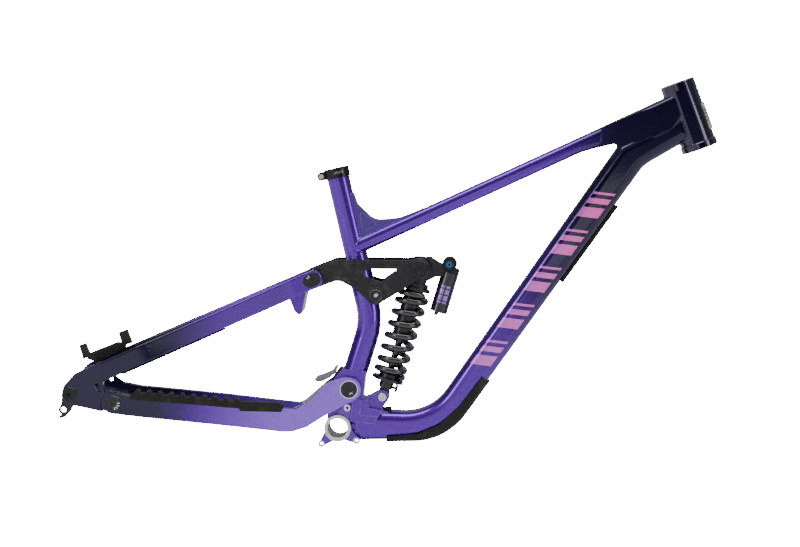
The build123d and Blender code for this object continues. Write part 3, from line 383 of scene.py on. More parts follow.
def down_tube_paint():
    """Frame paint with a run of slanted bars along both sides, pink below to violet above."""
    def build(t, shader, out):
        here = t.here()
        along = t.dot(here, tuple(DOWN_DIR), tuple(DOWN_FROM))
        up = Vector((-DOWN_DIR.z, 0, DOWN_DIR.x))
        across = t.dot(here, tuple(up), tuple(DOWN_FROM))
        side = t.math("ABSOLUTE", t.add("ShaderNodeSeparateXYZ", {0: here}).outputs["Y"])
        slanted = t.math("ADD", along, t.math("MULTIPLY", across, 0.55))
        zone = t.math("MULTIPLY", t.band(slanted, 0.150, 0.522, 0.0003), t.band(across, 0.011, 0.042, 0.0003))
        zone = t.math("MULTIPLY", zone, t.step(side, 0.0205, 0.021))
        cell = t.math("FRACT", t.math("DIVIDE", t.math("SUBTRACT", slanted, 0.150), 0.0768))
        wide = t.band(cell, 0.02, 0.28, 0.004)
        thin = t.band(cell, 0.38, 0.52, 0.004)
        hair = t.band(cell, 0.62, 0.68, 0.004)
        bars = t.math("ADD", wide, t.math("ADD", thin, hair), clamp=True)
        mask = t.math("MULTIPLY", zone, bars)
        rise = t.step(along, 0.16, 0.50)
        pink = t.mix(rise, (0.60, 0.14, 0.52, 1), (0.74, 0.075, 0.42, 1))
        pink = t.mix(t.math("MULTIPLY", t.step(across, 0.022, 0.046), 0.6), pink, (0.34, 0.06, 0.60, 1))
        paint_over(t, shader, t.mix(mask, use(t, FADE).outputs["Color"], pink))
        t.put(shader.inputs["Metallic"], t.lerp(mask, 0.88, 0.15))
    return material("down_tube_paint", {"Coat Weight": 0.75, "Coat IOR": 1.45}, build)


def head_tube_paint():
    """Frame paint, with the bare faced rim and black line at each end."""
    def build(t, shader, out):
        here = t.here()
        up = t.dot(here, tuple(HEAD_UP), tuple(HEAD_TOP))
        rim = t.step(up, -0.0006, -0.0003)
        foot = t.step(up, -0.1168, -0.1172)
        bare = t.math("MAXIMUM", rim, foot)
        line = t.band(up, -0.0034, -0.0006, 0.0002)
        line = t.math("MAXIMUM", line, t.band(up, -0.1172, -0.1148, 0.0002))
        colour = t.mix(line, use(t, FADE).outputs["Color"], (0.006, 0.006, 0.008, 1))
        colour = t.mix(bare, colour, (0.72, 0.71, 0.69, 1))
        paint_over(t, shader, colour)
        t.put(shader.inputs["Metallic"], t.lerp(bare, 0.88, 1.0))
        t.put(shader.inputs["Coat Weight"], t.math("SUBTRACT", 1.0, bare))
    return material("head_tube_paint", {"Coat IOR": 1.5}, build)


def black_metal(name, tint, rough, marks_and_highlight_tint, radius=0.0009):
    def build(t, shader, out):
        grain = use(t, GRAIN, Scale=2600.0, Depth=0.10)
        wear_and_highlight = use(t, WEAR_AND_HIGHLIGHT, Radius=radius, Scale=75.0)
        colour = t.mix(t.math("MULTIPLY", wear_and_highlight.outputs["Marks"], 0.3), tint, marks_and_highlight_tint)
        # painted edge highlight: the bevel edges lightened toward the tint, broken up like rubbed wear
        colour = t.mix(t.math("MULTIPLY", wear_and_highlight.outputs["Edge"], 0.55), colour, marks_and_highlight_tint)
        t.put(shader.inputs["Base Color"], colour)
        t.put(shader.inputs["Roughness"], t.lerp(grain.outputs["Mask"], rough - 0.06, rough + 0.08))
        fine = t.add("ShaderNodeBump", {"Strength": 0.08, "Distance": 0.0002, "Height": grain.outputs["Mask"],
                                        "Normal": wear_and_highlight.outputs["Normal"]})
        t.put(shader.inputs["Normal"], fine.outputs["Normal"])
    return material(name, {"Metallic": 0.55, "Coat Weight": 0.25, "Coat Roughness": 0.3}, build)


def bare_metal(name, tint, centre, pitch=0.0006, rough=0.24):
    def build(t, shader, out):
        rings = use(t, TURNED, Centre=tuple(centre), Pitch=pitch)
        wear_and_highlight = use(t, WEAR_AND_HIGHLIGHT, Radius=0.0006, Scale=120.0)
        darker = tuple(c * 0.62 for c in tint[:3]) + (1,)
        dull = t.mix(t.math("MULTIPLY", wear_and_highlight.outputs["Marks"], 0.4), tint, darker)
        t.put(shader.inputs["Base Color"], dull)
        t.put(shader.inputs["Roughness"], t.lerp(rings.outputs["Mask"], rough, rough + 0.16))
        t.put(shader.inputs["Normal"], rings.outputs["Normal"])
    return material(name, {"Metallic": 1.0}, build)


def rubber(name, tint, rough=0.62, scale=1500.0, light=(0.05, 0.05, 0.045, 1)):
    def build(t, shader, out):
        grain = use(t, GRAIN, Scale=scale, Depth=0.35)
        wear_and_highlight = use(t, WEAR_AND_HIGHLIGHT, Radius=0.0012, Scale=35.0)
        colour = t.mix(t.math("MULTIPLY", wear_and_highlight.outputs["Marks"], 0.5), tint, light)
        t.put(shader.inputs["Base Color"], colour)
        t.put(shader.inputs["Roughness"], t.lerp(grain.outputs["Mask"], rough - 0.1, rough + 0.1))
        fine = t.add("ShaderNodeBump", {"Strength": 0.25, "Distance": 0.0003, "Height": grain.outputs["Mask"],
                                        "Normal": wear_and_highlight.outputs["Normal"]})
        t.put(shader.inputs["Normal"], fine.outputs["Normal"])
    return material(name, {"Specular IOR Level": 0.22, "Sheen Weight": 0.03}, build)


def shell_metal():
    """Faced and threaded bottom bracket shell."""
    def build(t, shader, out):
        here = t.here()
        xyz = t.add("ShaderNodeSeparateXYZ", {0: here})
        flat = t.add("ShaderNodeVectorMath", {0: here, 1: (1, 0, 1)}, operation="MULTIPLY")
        radius = t.add("ShaderNodeVectorMath", {0: flat.outputs[0]}, operation="LENGTH").outputs["Value"]
        bore = t.step(radius, 0.0180, 0.0174)
        thread = t.math("PINGPONG", t.math("MULTIPLY", xyz.outputs["Y"], 1 / 0.00106), 0.5)
        cut = t.math("MULTIPLY", bore, thread)
        rings = use(t, TURNED, Centre=(0, 0, 0), Pitch=0.0005)
        bump = t.add("ShaderNodeBump", {"Strength": 0.8, "Distance": 0.0006, "Height": cut,
                                        "Normal": rings.outputs["Normal"]})
        stain = t.add("ShaderNodeTexNoise", {"Vector": here, "Scale": 90.0, "Detail": 6.0}).outputs["Fac"]
        t.put(shader.inputs["Base Color"], t.mix(stain, (0.80, 0.79, 0.77, 1), (0.55, 0.54, 0.53, 1)))
        t.put(shader.inputs["Roughness"], t.lerp(rings.outputs["Mask"], 0.3, 0.46))
        t.put(shader.inputs["Normal"], bump.outputs["Normal"])
    return material("shell_metal", {"Metallic": 1.0}, build)


def boss_paint():
    """Painted arms whose bolt faces are cut back to bare metal."""
    centres = [MOUNTS[n]["pos_m"] for n in ("chain_guide_top", "chain_guide_front", "chain_guide_rear")]
    def build(t, shader, out):
        here = t.here()
        xyz = t.add("ShaderNodeSeparateXYZ", {0: here})
        nearest = 1.0
        for centre in centres:
            dx = t.math("SUBTRACT", xyz.outputs["X"], centre[0])
            dz = t.math("SUBTRACT", xyz.outputs["Z"], centre[2])
            away = t.math("SQRT", t.math("ADD", t.math("MULTIPLY", dx, dx), t.math("MULTIPLY", dz, dz)))
            nearest = t.math("MINIMUM", nearest, away)
        bare = t.math("MULTIPLY", t.step(nearest, 0.0061, 0.0058), t.step(xyz.outputs["Y"], -0.0331, -0.0336))
        bare = t.math("MAXIMUM", bare, t.step(nearest, 0.0031, 0.0028))
        paint_over(t, shader, t.mix(bare, use(t, FADE).outputs["Color"], (0.80, 0.79, 0.76, 1)))
        t.put(shader.inputs["Metallic"], t.lerp(bare, 0.88, 1.0))
        t.put(shader.inputs["Coat Weight"], t.math("SUBTRACT", 1.0, bare))
    return material("boss_paint", {"Coat IOR": 1.5}, build)


def cap_metal(name, centres, inner, outer, sector):
    """Glossy black caps with three fine laser ticks on one side of each socket."""
    def build(t, shader, out):
        here = t.here()
        xyz = t.add("ShaderNodeSeparateXYZ", {0: here})
        ticks = 0.0
        for centre in centres:
            dx = t.math("SUBTRACT", xyz.outputs["X"], centre[0])
            dz = t.math("SUBTRACT", xyz.outputs["Z"], centre[2])
            away = t.math("SQRT", t.math("ADD", t.math("MULTIPLY", dx, dx), t.math("MULTIPLY", dz, dz)))
            angle = t.math("ARCTAN2", dz, dx)
            turn = t.math("FRACT", t.math("MULTIPLY", t.math("ADD", angle, 10 * math.pi), 2.2))
            mark = t.math("MULTIPLY", t.band(turn, 0.32, 0.68, 0.05), t.band(away, inner, outer, 0.0001))
            mark = t.math("MULTIPLY", mark, t.band(angle, sector[0], sector[1], 0.02))
            ticks = t.math("MAXIMUM", ticks, mark)
        grain = use(t, GRAIN, Scale=2600.0, Depth=0.1)
        wear_and_highlight = use(t, WEAR_AND_HIGHLIGHT, Radius=0.0009, Scale=90.0)
        # painted edge highlight: the bevel edges lightened, broken up like rubbed wear
        rubbed_and_highlit = t.math("MULTIPLY", wear_and_highlight.outputs["Edge"], 0.5)
        rim = t.mix(rubbed_and_highlit, (0.006, 0.006, 0.008, 1), (0.07, 0.07, 0.08, 1))
        t.put(shader.inputs["Base Color"], t.mix(ticks, rim, (0.75, 0.75, 0.77, 1)))
        t.put(shader.inputs["Roughness"], t.lerp(grain.outputs["Mask"], 0.16, 0.28))
        t.put(shader.inputs["Normal"], wear_and_highlight.outputs["Normal"])
    return material(name, {"Metallic": 0.0, "Specular IOR Level": 0.35, "Coat Weight": 0.15}, build)


def clamp_metal():
    """Black clamp with a short row of plain pale ticks on its side."""
    low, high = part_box("seat_clamp_collar")
    middle = (low + high) / 2
    level = Vector((SEAT_UP.z, 0, -SEAT_UP.x))
    def build(t, shader, out):
        here = t.here()
        x = t.dot(here, tuple(level), tuple(middle))
        z = t.dot(here, tuple(SEAT_UP), tuple(middle))
        y = t.add("ShaderNodeSeparateXYZ", {0: here}).outputs["Y"]
        row = t.math("FRACT", t.math("MULTIPLY", x, 420.0))
        ticks = t.math("MULTIPLY", t.band(row, 0.2, 0.62, 0.05), t.band(x, 0.001, 0.016, 0.0002))
        ticks = t.math("MULTIPLY", t.math("MULTIPLY", ticks, t.band(z, -0.0022, 0.0022, 0.0002)),
                       t.math("MULTIPLY", t.step(y, -0.008, -0.010), 0.5))
        wear_and_highlight = use(t, WEAR_AND_HIGHLIGHT, Radius=0.0009, Scale=90.0)
        t.put(shader.inputs["Base Color"], t.mix(ticks, (0.008, 0.008, 0.010, 1), (0.5, 0.5, 0.5, 1)))
        t.put(shader.inputs["Roughness"], t.lerp(wear_and_highlight.outputs["Marks"], 0.26, 0.36))
        t.put(shader.inputs["Normal"], wear_and_highlight.outputs["Normal"])
    return material("clamp_metal", {"Metallic": 0.5}, build)


def knob_metal():
    """Black knob with a blue centre and fine radial marks."""
    centre = shock_point(0.044, 0, 0.2485)
    def build(t, shader, out):
        here = t.here()
        x = t.dot(here, tuple(SHOCK_FWD), tuple(centre))
        z = t.dot(here, tuple(SHOCK_UP), tuple(centre))
        radius = t.math("SQRT", t.math("ADD", t.math("MULTIPLY", x, x), t.math("MULTIPLY", z, z)))
        angle = t.math("ARCTAN2", z, x)
        ray = t.math("ABSOLUTE", t.math("SINE", t.math("MULTIPLY", angle, 9.0)))
        lines = t.math("MULTIPLY", t.step(ray, 0.22, 0.08), t.band(radius, 0.0050, 0.0082, 0.0002))
        ring = t.band(radius, 0.0022, 0.0046, 0.0002)
        colour = t.mix(ring, (0.012, 0.012, 0.014, 1), (0.02, 0.16, 0.42, 1))
        colour = t.mix(lines, colour, (0.10, 0.26, 0.42, 1))
        grain = use(t, GRAIN, Scale=2600.0, Depth=0.12)
        t.put(shader.inputs["Base Color"], colour)
        t.put(shader.inputs["Roughness"], t.lerp(grain.outputs["Mask"], 0.25, 0.4))
        t.put(shader.inputs["Normal"], grain.outputs["Normal"])
    return material("knob_metal", {"Metallic": 0.8}, build)


def reservoir_metal():
    """Black tube with a purple wrap of pale blocks."""
    axis_foot = shock_point(0.049, 0, 0.165)
    def build(t, shader, out):
        here = t.here()
        z = t.dot(here, tuple(SHOCK_UP), tuple(axis_foot))
        x = t.dot(here, tuple(SHOCK_FWD), tuple(axis_foot))
        wrap = t.math("MULTIPLY", t.band(z, 0.014, 0.050, 0.0002), t.band(x, -0.0125, 0.0135, 0.0002))
        brick = t.add("ShaderNodeTexBrick", {
            "Vector": t.add("ShaderNodeCombineXYZ", {0: t.math("MULTIPLY", z, 1.0), 1: x}).outputs[0],
            "Scale": 1.0, "Mortar Size": 0.0012, "Brick Width": 0.0105, "Row Height": 0.0092,
            "Color1": (1, 1, 1, 1), "Color2": (0.6, 0.6, 0.6, 1), "Mortar": (0, 0, 0, 1)}, offset=0.0)
        pale = t.add("ShaderNodeSeparateColor", {0: brick.outputs["Color"]}).outputs[0]
        inside = t.math("MULTIPLY", t.band(z, 0.017, 0.0475, 0.0002), t.band(x, -0.0088, 0.0092, 0.0002))
        label = t.mix(t.math("MULTIPLY", pale, inside), (0.018, 0.009, 0.045, 1), (0.27, 0.15, 0.52, 1))
        wear_and_highlight = use(t, WEAR_AND_HIGHLIGHT, Radius=0.0008, Scale=75.0)
        t.put(shader.inputs["Base Color"], t.mix(wrap, (0.010, 0.010, 0.012, 1), label))
        t.put(shader.inputs["Roughness"], t.lerp(wear_and_highlight.outputs["Marks"], 0.26, 0.42))
        t.put(shader.inputs["Normal"], wear_and_highlight.outputs["Normal"])
    return material("reservoir_metal", {"Metallic": 0.3, "Coat Weight": 0.4}, build)


def spring_paint():
    """Black powder coat with a short row of pale ticks on one coil."""
    def build(t, shader, out):
        here = t.here()
        grain = use(t, GRAIN, Scale=1300.0, Depth=0.25)
        z = t.dot(here, tuple(SHOCK_UP), tuple(EYE_LOW))
        x = t.dot(here, tuple(SHOCK_FWD), tuple(EYE_LOW))
        y = t.add("ShaderNodeSeparateXYZ", {0: here}).outputs["Y"]
        ticks = t.math("MULTIPLY", t.step(t.math("FRACT", t.math("MULTIPLY", x, 310.0)), 0.38, 0.44),
                       t.band(x, 0.0035, 0.0165, 0.0002))
        rise = t.math("MULTIPLY_ADD", x, 0.22, z)
        ticks = t.math("MULTIPLY", ticks, t.band(rise, 0.1385, 0.1412, 0.0002))
        ticks = t.math("MULTIPLY", ticks, t.step(y, -0.016, -0.018))
        t.put(shader.inputs["Base Color"], t.mix(ticks, (0.010, 0.010, 0.011, 1), (0.7, 0.7, 0.72, 1)))
        t.put(shader.inputs["Roughness"], t.lerp(grain.outputs["Mask"], 0.22, 0.36))
        t.put(shader.inputs["Normal"], grain.outputs["Normal"])
    return material("spring_paint", {"Coat Weight": 0.6, "Coat Roughness": 0.12}, build)


def badge_metal():
    """Brushed plate with a plain raised border and diagonal hatch."""
    low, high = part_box("head_badge")
    middle = (low + high) / 2
    def build(t, shader, out):
        here = t.here()
        up = t.dot(here, tuple(HEAD_UP), tuple(middle))
        brush = t.add("ShaderNodeTexNoise", {"Vector": t.add("ShaderNodeCombineXYZ", {
            0: t.math("MULTIPLY", up, 2200.0), 1: t.add("ShaderNodeSeparateXYZ", {0: here}).outputs["Y"],
            2: 0.0}).outputs[0], "Scale": 1.0, "Detail": 3.0}).outputs["Fac"]
        side = t.add("ShaderNodeSeparateXYZ", {0: here}).outputs["Y"]
        hatch = t.math("FRACT", t.math("MULTIPLY", t.math("ADD", up, side), 160.0))
        hatch = t.math("MULTIPLY", t.step(hatch, 0.45, 0.55), t.band(up, -0.012, 0.012, 0.0004))
        t.put(shader.inputs["Base Color"], t.mix(hatch, (0.66, 0.62, 0.55, 1), (0.30, 0.28, 0.26, 1)))
        t.put(shader.inputs["Roughness"], t.lerp(brush, 0.2, 0.45))
    return material("badge_metal", {"Metallic": 1.0}, build)


M = {
    "paint": frame_paint(), "arm": swingarm_paint(), "panel": panel_paint(), "bolt_face": bolt_face(),
    "down": down_tube_paint(), "head": head_tube_paint(),
    "black": black_metal("black_anodised", (0.0075, 0.0075, 0.009, 1), 0.34, (0.09, 0.09, 0.10, 1)),
    "gloss": black_metal("black_gloss", (0.003, 0.003, 0.004, 1), 0.20, (0.05, 0.05, 0.06, 1)),
    "matte": black_metal("black_matte", (0.014, 0.014, 0.014, 1), 0.55, (0.07, 0.07, 0.07, 1)),
    "shell": shell_metal(),
    "boss": boss_paint(),
    "bolt": bare_metal("bolt_steel", (0.62, 0.60, 0.57, 1), EYE_LOW, 0.0004),
    "bearing": bare_metal("bearing_steel", (0.50, 0.50, 0.52, 1), MAIN, 0.0008, 0.18),
    "chrome": bare_metal("shaft_coating", (0.05, 0.05, 0.055, 1), EYE_LOW, 0.002, 0.14),
    "rubber": rubber("guard_rubber", (0.006, 0.006, 0.006, 1)),
    "olive": rubber("protector_rubber", (0.007, 0.007, 0.006, 1), 0.55, 1100.0, (0.05, 0.05, 0.042, 1)),
    "flap": rubber("flap_plastic", (0.20, 0.20, 0.21, 1), 0.6, 1800.0, (0.3, 0.3, 0.3, 1)),
    "strip": rubber("strip_rubber", (0.16, 0.16, 0.17, 1), 0.5, 1800.0, (0.24, 0.24, 0.25, 1)),
    "cap": rubber("cap_plastic", (0.02, 0.02, 0.02, 1), 0.45, 1800.0),
    "main_cap": cap_metal("main_cap", [MAIN], 0.0060, 0.0092, (-1.5, -0.35)),
    "rear_cap": cap_metal("rear_cap", [REAR], 0.0068, 0.0112, (-1.35, 0.55)),
    "stay_cap": cap_metal("stay_cap", [STAY], 0.0058, 0.0096, (2.2, 3.12)),
    "rocker_cap": cap_metal("rocker_cap", [ROCKER], 0.0030, 0.0048, (-0.2, 1.6)),
    "clamp": clamp_metal(), "knob": knob_metal(), "reservoir": reservoir_metal(), "spring": spring_paint(),
    "badge": badge_metal(),
}

FINISH = {
    "paint": ["head_tube_gusset", "top_tube", "seat_tube", "rocker_pivot_boss", "main_pivot_yoke",
              "seatstay_left", "seatstay_right",
              "seatstay_bridge", "dropout_left", "dropout_right"],
    "arm": ["chainstay_yoke", "chainstay_left", "chainstay_right"], "panel": ["seat_tube_gusset"],
    "bolt_face": ["shock_lower_bolt"], "down": ["down_tube"], "head": ["head_tube"],
    "shell": ["bottom_bracket_shell"],
    "boss": ["chain_guide_bosses"], "badge": ["head_badge"],
    "black": ["rocker_plate_left", "rocker_plate_right", "rocker_bridge", "shock_head", "spring_retainer",
              "lower_eyelet", "preload_collar", "damper_tube"],
    "gloss": ["hanger_bolt", "rear_axle", "brake_mount", "shock_upper_bolt"],
    "main_cap": ["main_pivot_caps"], "rear_cap": ["rear_pivot_bolts"], "stay_cap": ["seatstay_pivot_caps"],
    "rocker_cap": ["rocker_pivot_caps"], "clamp": ["seat_clamp_collar"],
    "matte": ["derailleur_hanger", "rebound_knob", "mud_flap_base"],
    "bolt": ["seat_clamp_bolt", "main_pivot_axle",
             "rocker_pivot_axle", "seatstay_pivot_pins"],
    "bearing": ["main_pivot_bearings", "rear_pivot_bearings", "rocker_bearings"],
    "chrome": ["shock_rod"],
    "rubber": ["down_tube_lower_guard", "down_tube_upper_pad", "cable_grommet", "bump_stop",
               "seatstay_protector"],
    "olive": ["chainstay_protector"], "flap": ["mud_flap_tongue"], "strip": ["yoke_edge_strip"],
    "cap": ["reservoir_valve_cap"], "knob": ["compression_knob"], "reservoir": ["reservoir"],
    "spring": ["coil_spring"],
}
for finish, names in FINISH.items():
    for name in names:
        slots = NODES[name].data.materials
        if len(slots) == 0:
            slots.append(M[finish])
        for i in range(len(slots)):
            slots[i] = M[finish]
left_out = set(NODES) - {n for names in FINISH.values() for n in names}
if left_out:
    raise RuntimeError(f"no finish for {sorted(left_out)}")


# ---------- pieces ----------
def mesh_object(name, verts, faces, mat, body, smooth=True):
    mesh = bpy.data.meshes.new(name)
    mesh.from_pydata([tuple(v) for v in verts], [], faces)
    mesh.materials.append(mat)
    obj = bpy.data.objects.new(name, mesh)
    bpy.context.scene.collection.objects.link(obj)
    bm = bmesh.new()
    bm.from_mesh(mesh)
    bmesh.ops.recalc_face_normals(bm, faces=bm.faces)
    for face in bm.faces:
        face.smooth = smooth
    bm.to_mesh(mesh)
    bm.free()
    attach(obj, body)
    return obj


SPRING_R, WIRE_R = 0.023, 0.0054
SPRING_LOW, SPRING_HIGH = 0.033, 0.190
PITCH, START = 0.0208, math.radians(138.0)


def coil_height(s):
    """Height of the wire's centre s turns round: closed end turns, open coils between."""
    closed = 2 * WIRE_R
    base = SPRING_LOW + WIRE_R
    def ramp(x):
        soft = 0.14
        return 0.5 * (x + math.sqrt(x * x + soft * soft))
    return base + closed * (s + 0.48) + (PITCH - closed) * (ramp(s - 0.52) - ramp(s - 6.50))


def coil_spring():
    ring, steps = 20, 460
    verts, faces = [], []
    for i in range(steps + 1):
        s = -0.48 + 7.98 * i / steps
        angle = START + 2 * math.pi * s
        out = SHOCK_FWD * math.cos(angle) + Vector((0, 1, 0)) * math.sin(angle)
        centre = EYE_LOW + out * SPRING_R + SHOCK_UP * coil_height(s)
        taper = min(1.0, 0.86 + 1.2 * min(i, steps - i) / 60)
        for k in range(ring):
            turn = 2 * math.pi * k / ring
            point = centre + out * (WIRE_R * math.cos(turn)) + SHOCK_UP * (WIRE_R * taper * math.sin(turn))
            high = (point - EYE_LOW).dot(SHOCK_UP)
            limit = min(max(high, SPRING_LOW + 0.0001), SPRING_HIGH - 0.0001)
            verts.append(point + SHOCK_UP * (limit - high))
    for i in range(steps):
        for k in range(ring):
            a, b = i * ring + k, i * ring + (k + 1) % ring
            faces.append((a, b, b + ring, a + ring))
    faces.append(tuple(range(ring)))
    faces.append(tuple(steps * ring + k for k in range(ring)))
    spring = mesh_object("spring_coils", verts, faces, M["spring"], "shock_shaft")
    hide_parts("coil_spring")
    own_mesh(spring)
    return spring


def seam_edges(name, other, gap=0.0003):
    """Runs of points where the skin of one node leaves the surface of another."""
    bm = bmesh.new()
    bm.from_mesh(NODES[name].data)
    bmesh.ops.remove_doubles(bm, verts=bm.verts, dist=2e-6)
    against = bmesh.new()
    against.from_mesh(NODES[other].data)
    tree = BVHTree.FromBMesh(against)
    touching = set()
    for face in bm.faces:
        centre = face.calc_center_median()
        spot, normal, index, distance = tree.find_nearest(centre, 0.01)
        if spot is not None and distance < gap and abs(normal.dot(face.normal)) > 0.8:
            touching.add(face.index)
    pairs = []
    for edge in bm.edges:
        flags = [f.index in touching for f in edge.link_faces]
        if len(flags) == 2 and flags[0] != flags[1]:
            pairs.append((edge.verts[0].co.copy(), edge.verts[1].co.copy()))
    bm.free()
    against.free()
    return chain(pairs)


def chain(pairs):
    """Joins edges end to end into runs, longest first."""
    key = lambda v: (round(v.x, 5), round(v.y, 5), round(v.z, 5))
    links, spots = {}, {}
    for a, b in pairs:
        ka, kb = key(a), key(b)
        if ka == kb:
            continue
        spots[ka], spots[kb] = a, b
        links.setdefault(ka, set()).add(kb)
        links.setdefault(kb, set()).add(ka)
    runs, seen = [], set()
    for start in sorted(links, key=lambda k: (len(links[k]) != 1, k)):
        if start in seen:
            continue
        run, here = [start], start
        seen.add(start)
        while True:
            following = sorted(k for k in links[here] if k not in seen)
            if not following:
                break
            here = following[0]
            seen.add(here)
            run.append(here)
        closed = len(run) > 2 and run[0] in links[run[-1]]
        runs.append(([spots[k] for k in run], closed))
    length = lambda r: sum((b - a).length for a, b in zip(r[0], r[0][1:]))
    return sorted(runs, key=length, reverse=True)


def bead_nodes():
    """Geometry nodes: a rippled weld bead along each edge run."""
    tree = bpy.data.node_groups.new("weld_bead", "GeometryNodeTree")
    tree.interface.new_socket("Geometry", in_out="INPUT", socket_type="NodeSocketGeometry")
    for label, value in (("Radius", 0.0021), ("Step", 0.0005), ("Ripple", 0.12), ("Ripple Length", 0.0026)):
        socket = tree.interface.new_socket(label, in_out="INPUT", socket_type="NodeSocketFloat")
        socket.default_value = value
    tree.interface.new_socket("Material", in_out="INPUT", socket_type="NodeSocketMaterial")
    tree.interface.new_socket("Geometry", in_out="OUTPUT", socket_type="NodeSocketGeometry")
    t = Tree(tree)
    gin, gout = t.add("NodeGroupInput"), t.add("NodeGroupOutput")
    curve = t.add("GeometryNodeMeshToCurve", {"Mesh": gin.outputs["Geometry"]})
    even = t.add("GeometryNodeResampleCurve", {"Curve": curve.outputs[0], "Length": gin.outputs["Step"]},
                 mode="LENGTH")
    place = t.add("GeometryNodeSplineParameter").outputs["Length"]
    wave = t.math("ABSOLUTE", t.math("SINE", t.math("DIVIDE", t.math("MULTIPLY", place, math.pi),
                                                    gin.outputs["Ripple Length"])))
    uneven = t.add("ShaderNodeTexNoise", {"Scale": 90.0, "Detail": 2.0})
    swell = t.math("MULTIPLY_ADD", uneven.outputs[0], 0.24, 0.82)
    lift = t.math("MULTIPLY", t.math("MULTIPLY_ADD", wave, gin.outputs["Ripple"], 1.0), swell)
    radius = t.math("MULTIPLY", lift, gin.outputs["Radius"])
    sized = t.add("GeometryNodeSetCurveRadius", {"Curve": even.outputs[0], "Radius": radius})
    ring = t.add("GeometryNodeCurvePrimitiveCircle", {"Resolution": 12, "Radius": 1.0})
    bead = t.add("GeometryNodeCurveToMesh", {"Curve": sized.outputs[0], "Profile Curve": ring.outputs[0],
                                             "Fill Caps": True})
    if "Scale" in bead.inputs:
        t.put(bead.inputs["Scale"], radius)
    shade = t.add("GeometryNodeSetShadeSmooth", {"Geometry": bead.outputs[0]})
    coat = t.add("GeometryNodeSetMaterial",
                 {"Geometry": shade.outputs[0], "Material": gin.outputs["Material"]})
    t.put(gout.inputs["Geometry"], coat.outputs[0])
    return tree


def grown(name, base, tree, values, body, shift=(0, 0, 0)):
    """Turns a mesh and a geometry node group into a finished mesh that rides on a body."""
    holder = bpy.data.objects.new(name + "_guide", base)
    bpy.context.scene.collection.objects.link(holder)
    mod = holder.modifiers.new("shape", "NODES")
    mod.node_group = tree
    for item in tree.interface.items_tree:
        if item.in_out == "INPUT" and item.name in values:
            mod[item.identifier] = values[item.name]
    bpy.context.view_layer.update()
    depsgraph = bpy.context.evaluated_depsgraph_get()
    mesh = bpy.data.meshes.new_from_object(holder.evaluated_get(depsgraph))
    bpy.data.objects.remove(holder)
    mesh.name = name
    mesh.transform(Matrix.Translation(shift))
    obj = bpy.data.objects.new(name, mesh)
    bpy.context.scene.collection.objects.link(obj)
    bm = bmesh.new()
    bm.from_mesh(mesh)
    bmesh.ops.recalc_face_normals(bm, faces=bm.faces)
    bm.to_mesh(mesh)
    bm.free()
    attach(obj, body)
    return obj


def runs_mesh(name, runs):
    verts, edges = [], []
    for points, closed in runs:
        first = len(verts)
        verts += [tuple(p) for p in points]
        edges += [(first + i, first + i + 1) for i in range(len(points) - 1)]
        if closed:
            edges.append((len(verts) - 1, first))
    mesh = bpy.data.meshes.new(name)
    mesh.from_pydata(verts, edges, [])
    return mesh


BEAD = bead_nodes()
WELDS = [
    # piece, the node whose skin ends in the weld, what it is welded to, body, runs kept, bead radius in mm
    ("weld_down_tube_head", "down_tube", "head_tube", "front_triangle", 1, 2.0),
    ("weld_top_tube_head", "top_tube", "head_tube", "front_triangle", 1, 1.9),
    ("weld_top_tube_down", "top_tube", "down_tube", "front_triangle", 1, 1.9),
    ("weld_top_tube_seat", "top_tube", "seat_tube", "front_triangle", 1, 1.8),
    ("weld_gusset_seat", "seat_tube_gusset", "seat_tube", "front_triangle", 1, 1.5),
    ("weld_gusset_top", "seat_tube_gusset", "top_tube", "front_triangle", 1, 1.5),
    ("weld_shell_down", "down_tube", "bottom_bracket_shell", "front_triangle", 1, 2.0),
    ("weld_seat_foot", "seat_tube", "main_pivot_yoke", "front_triangle", 1, 1.8),
    ("weld_rocker_boss", "seat_tube", "rocker_pivot_boss", "front_triangle", 2, 1.5),
    ("weld_stay_yoke_right", "chainstay_right", "chainstay_yoke", "chainstay", 1, 0.9),
    ("weld_stay_yoke_left", "chainstay_left", "chainstay_yoke", "chainstay", 1, 0.9),
    ("weld_dropout_right", "seatstay_right", "dropout_right", "seatstay", 1, 0.9),
    ("weld_dropout_left", "seatstay_left", "dropout_left", "seatstay", 1, 0.9),
]


def welds():
    made = []
    for name, node, other, body, keep, radius in WELDS:
        runs = [r for r in seam_edges(node, other) if len(r[0]) > 6]
        print("runs", name, [(len(p), c, round(sum((b - a).length for a, b in zip(p, p[1:])), 3))
                             for p, c in runs[:4]])
        if runs:
            guide = runs_mesh(name, runs[:keep])
            bead = grown(name, guide, BEAD, {"Radius": radius * MM, "Material": M["paint"]}, body)
            made.append(bead)
    return made


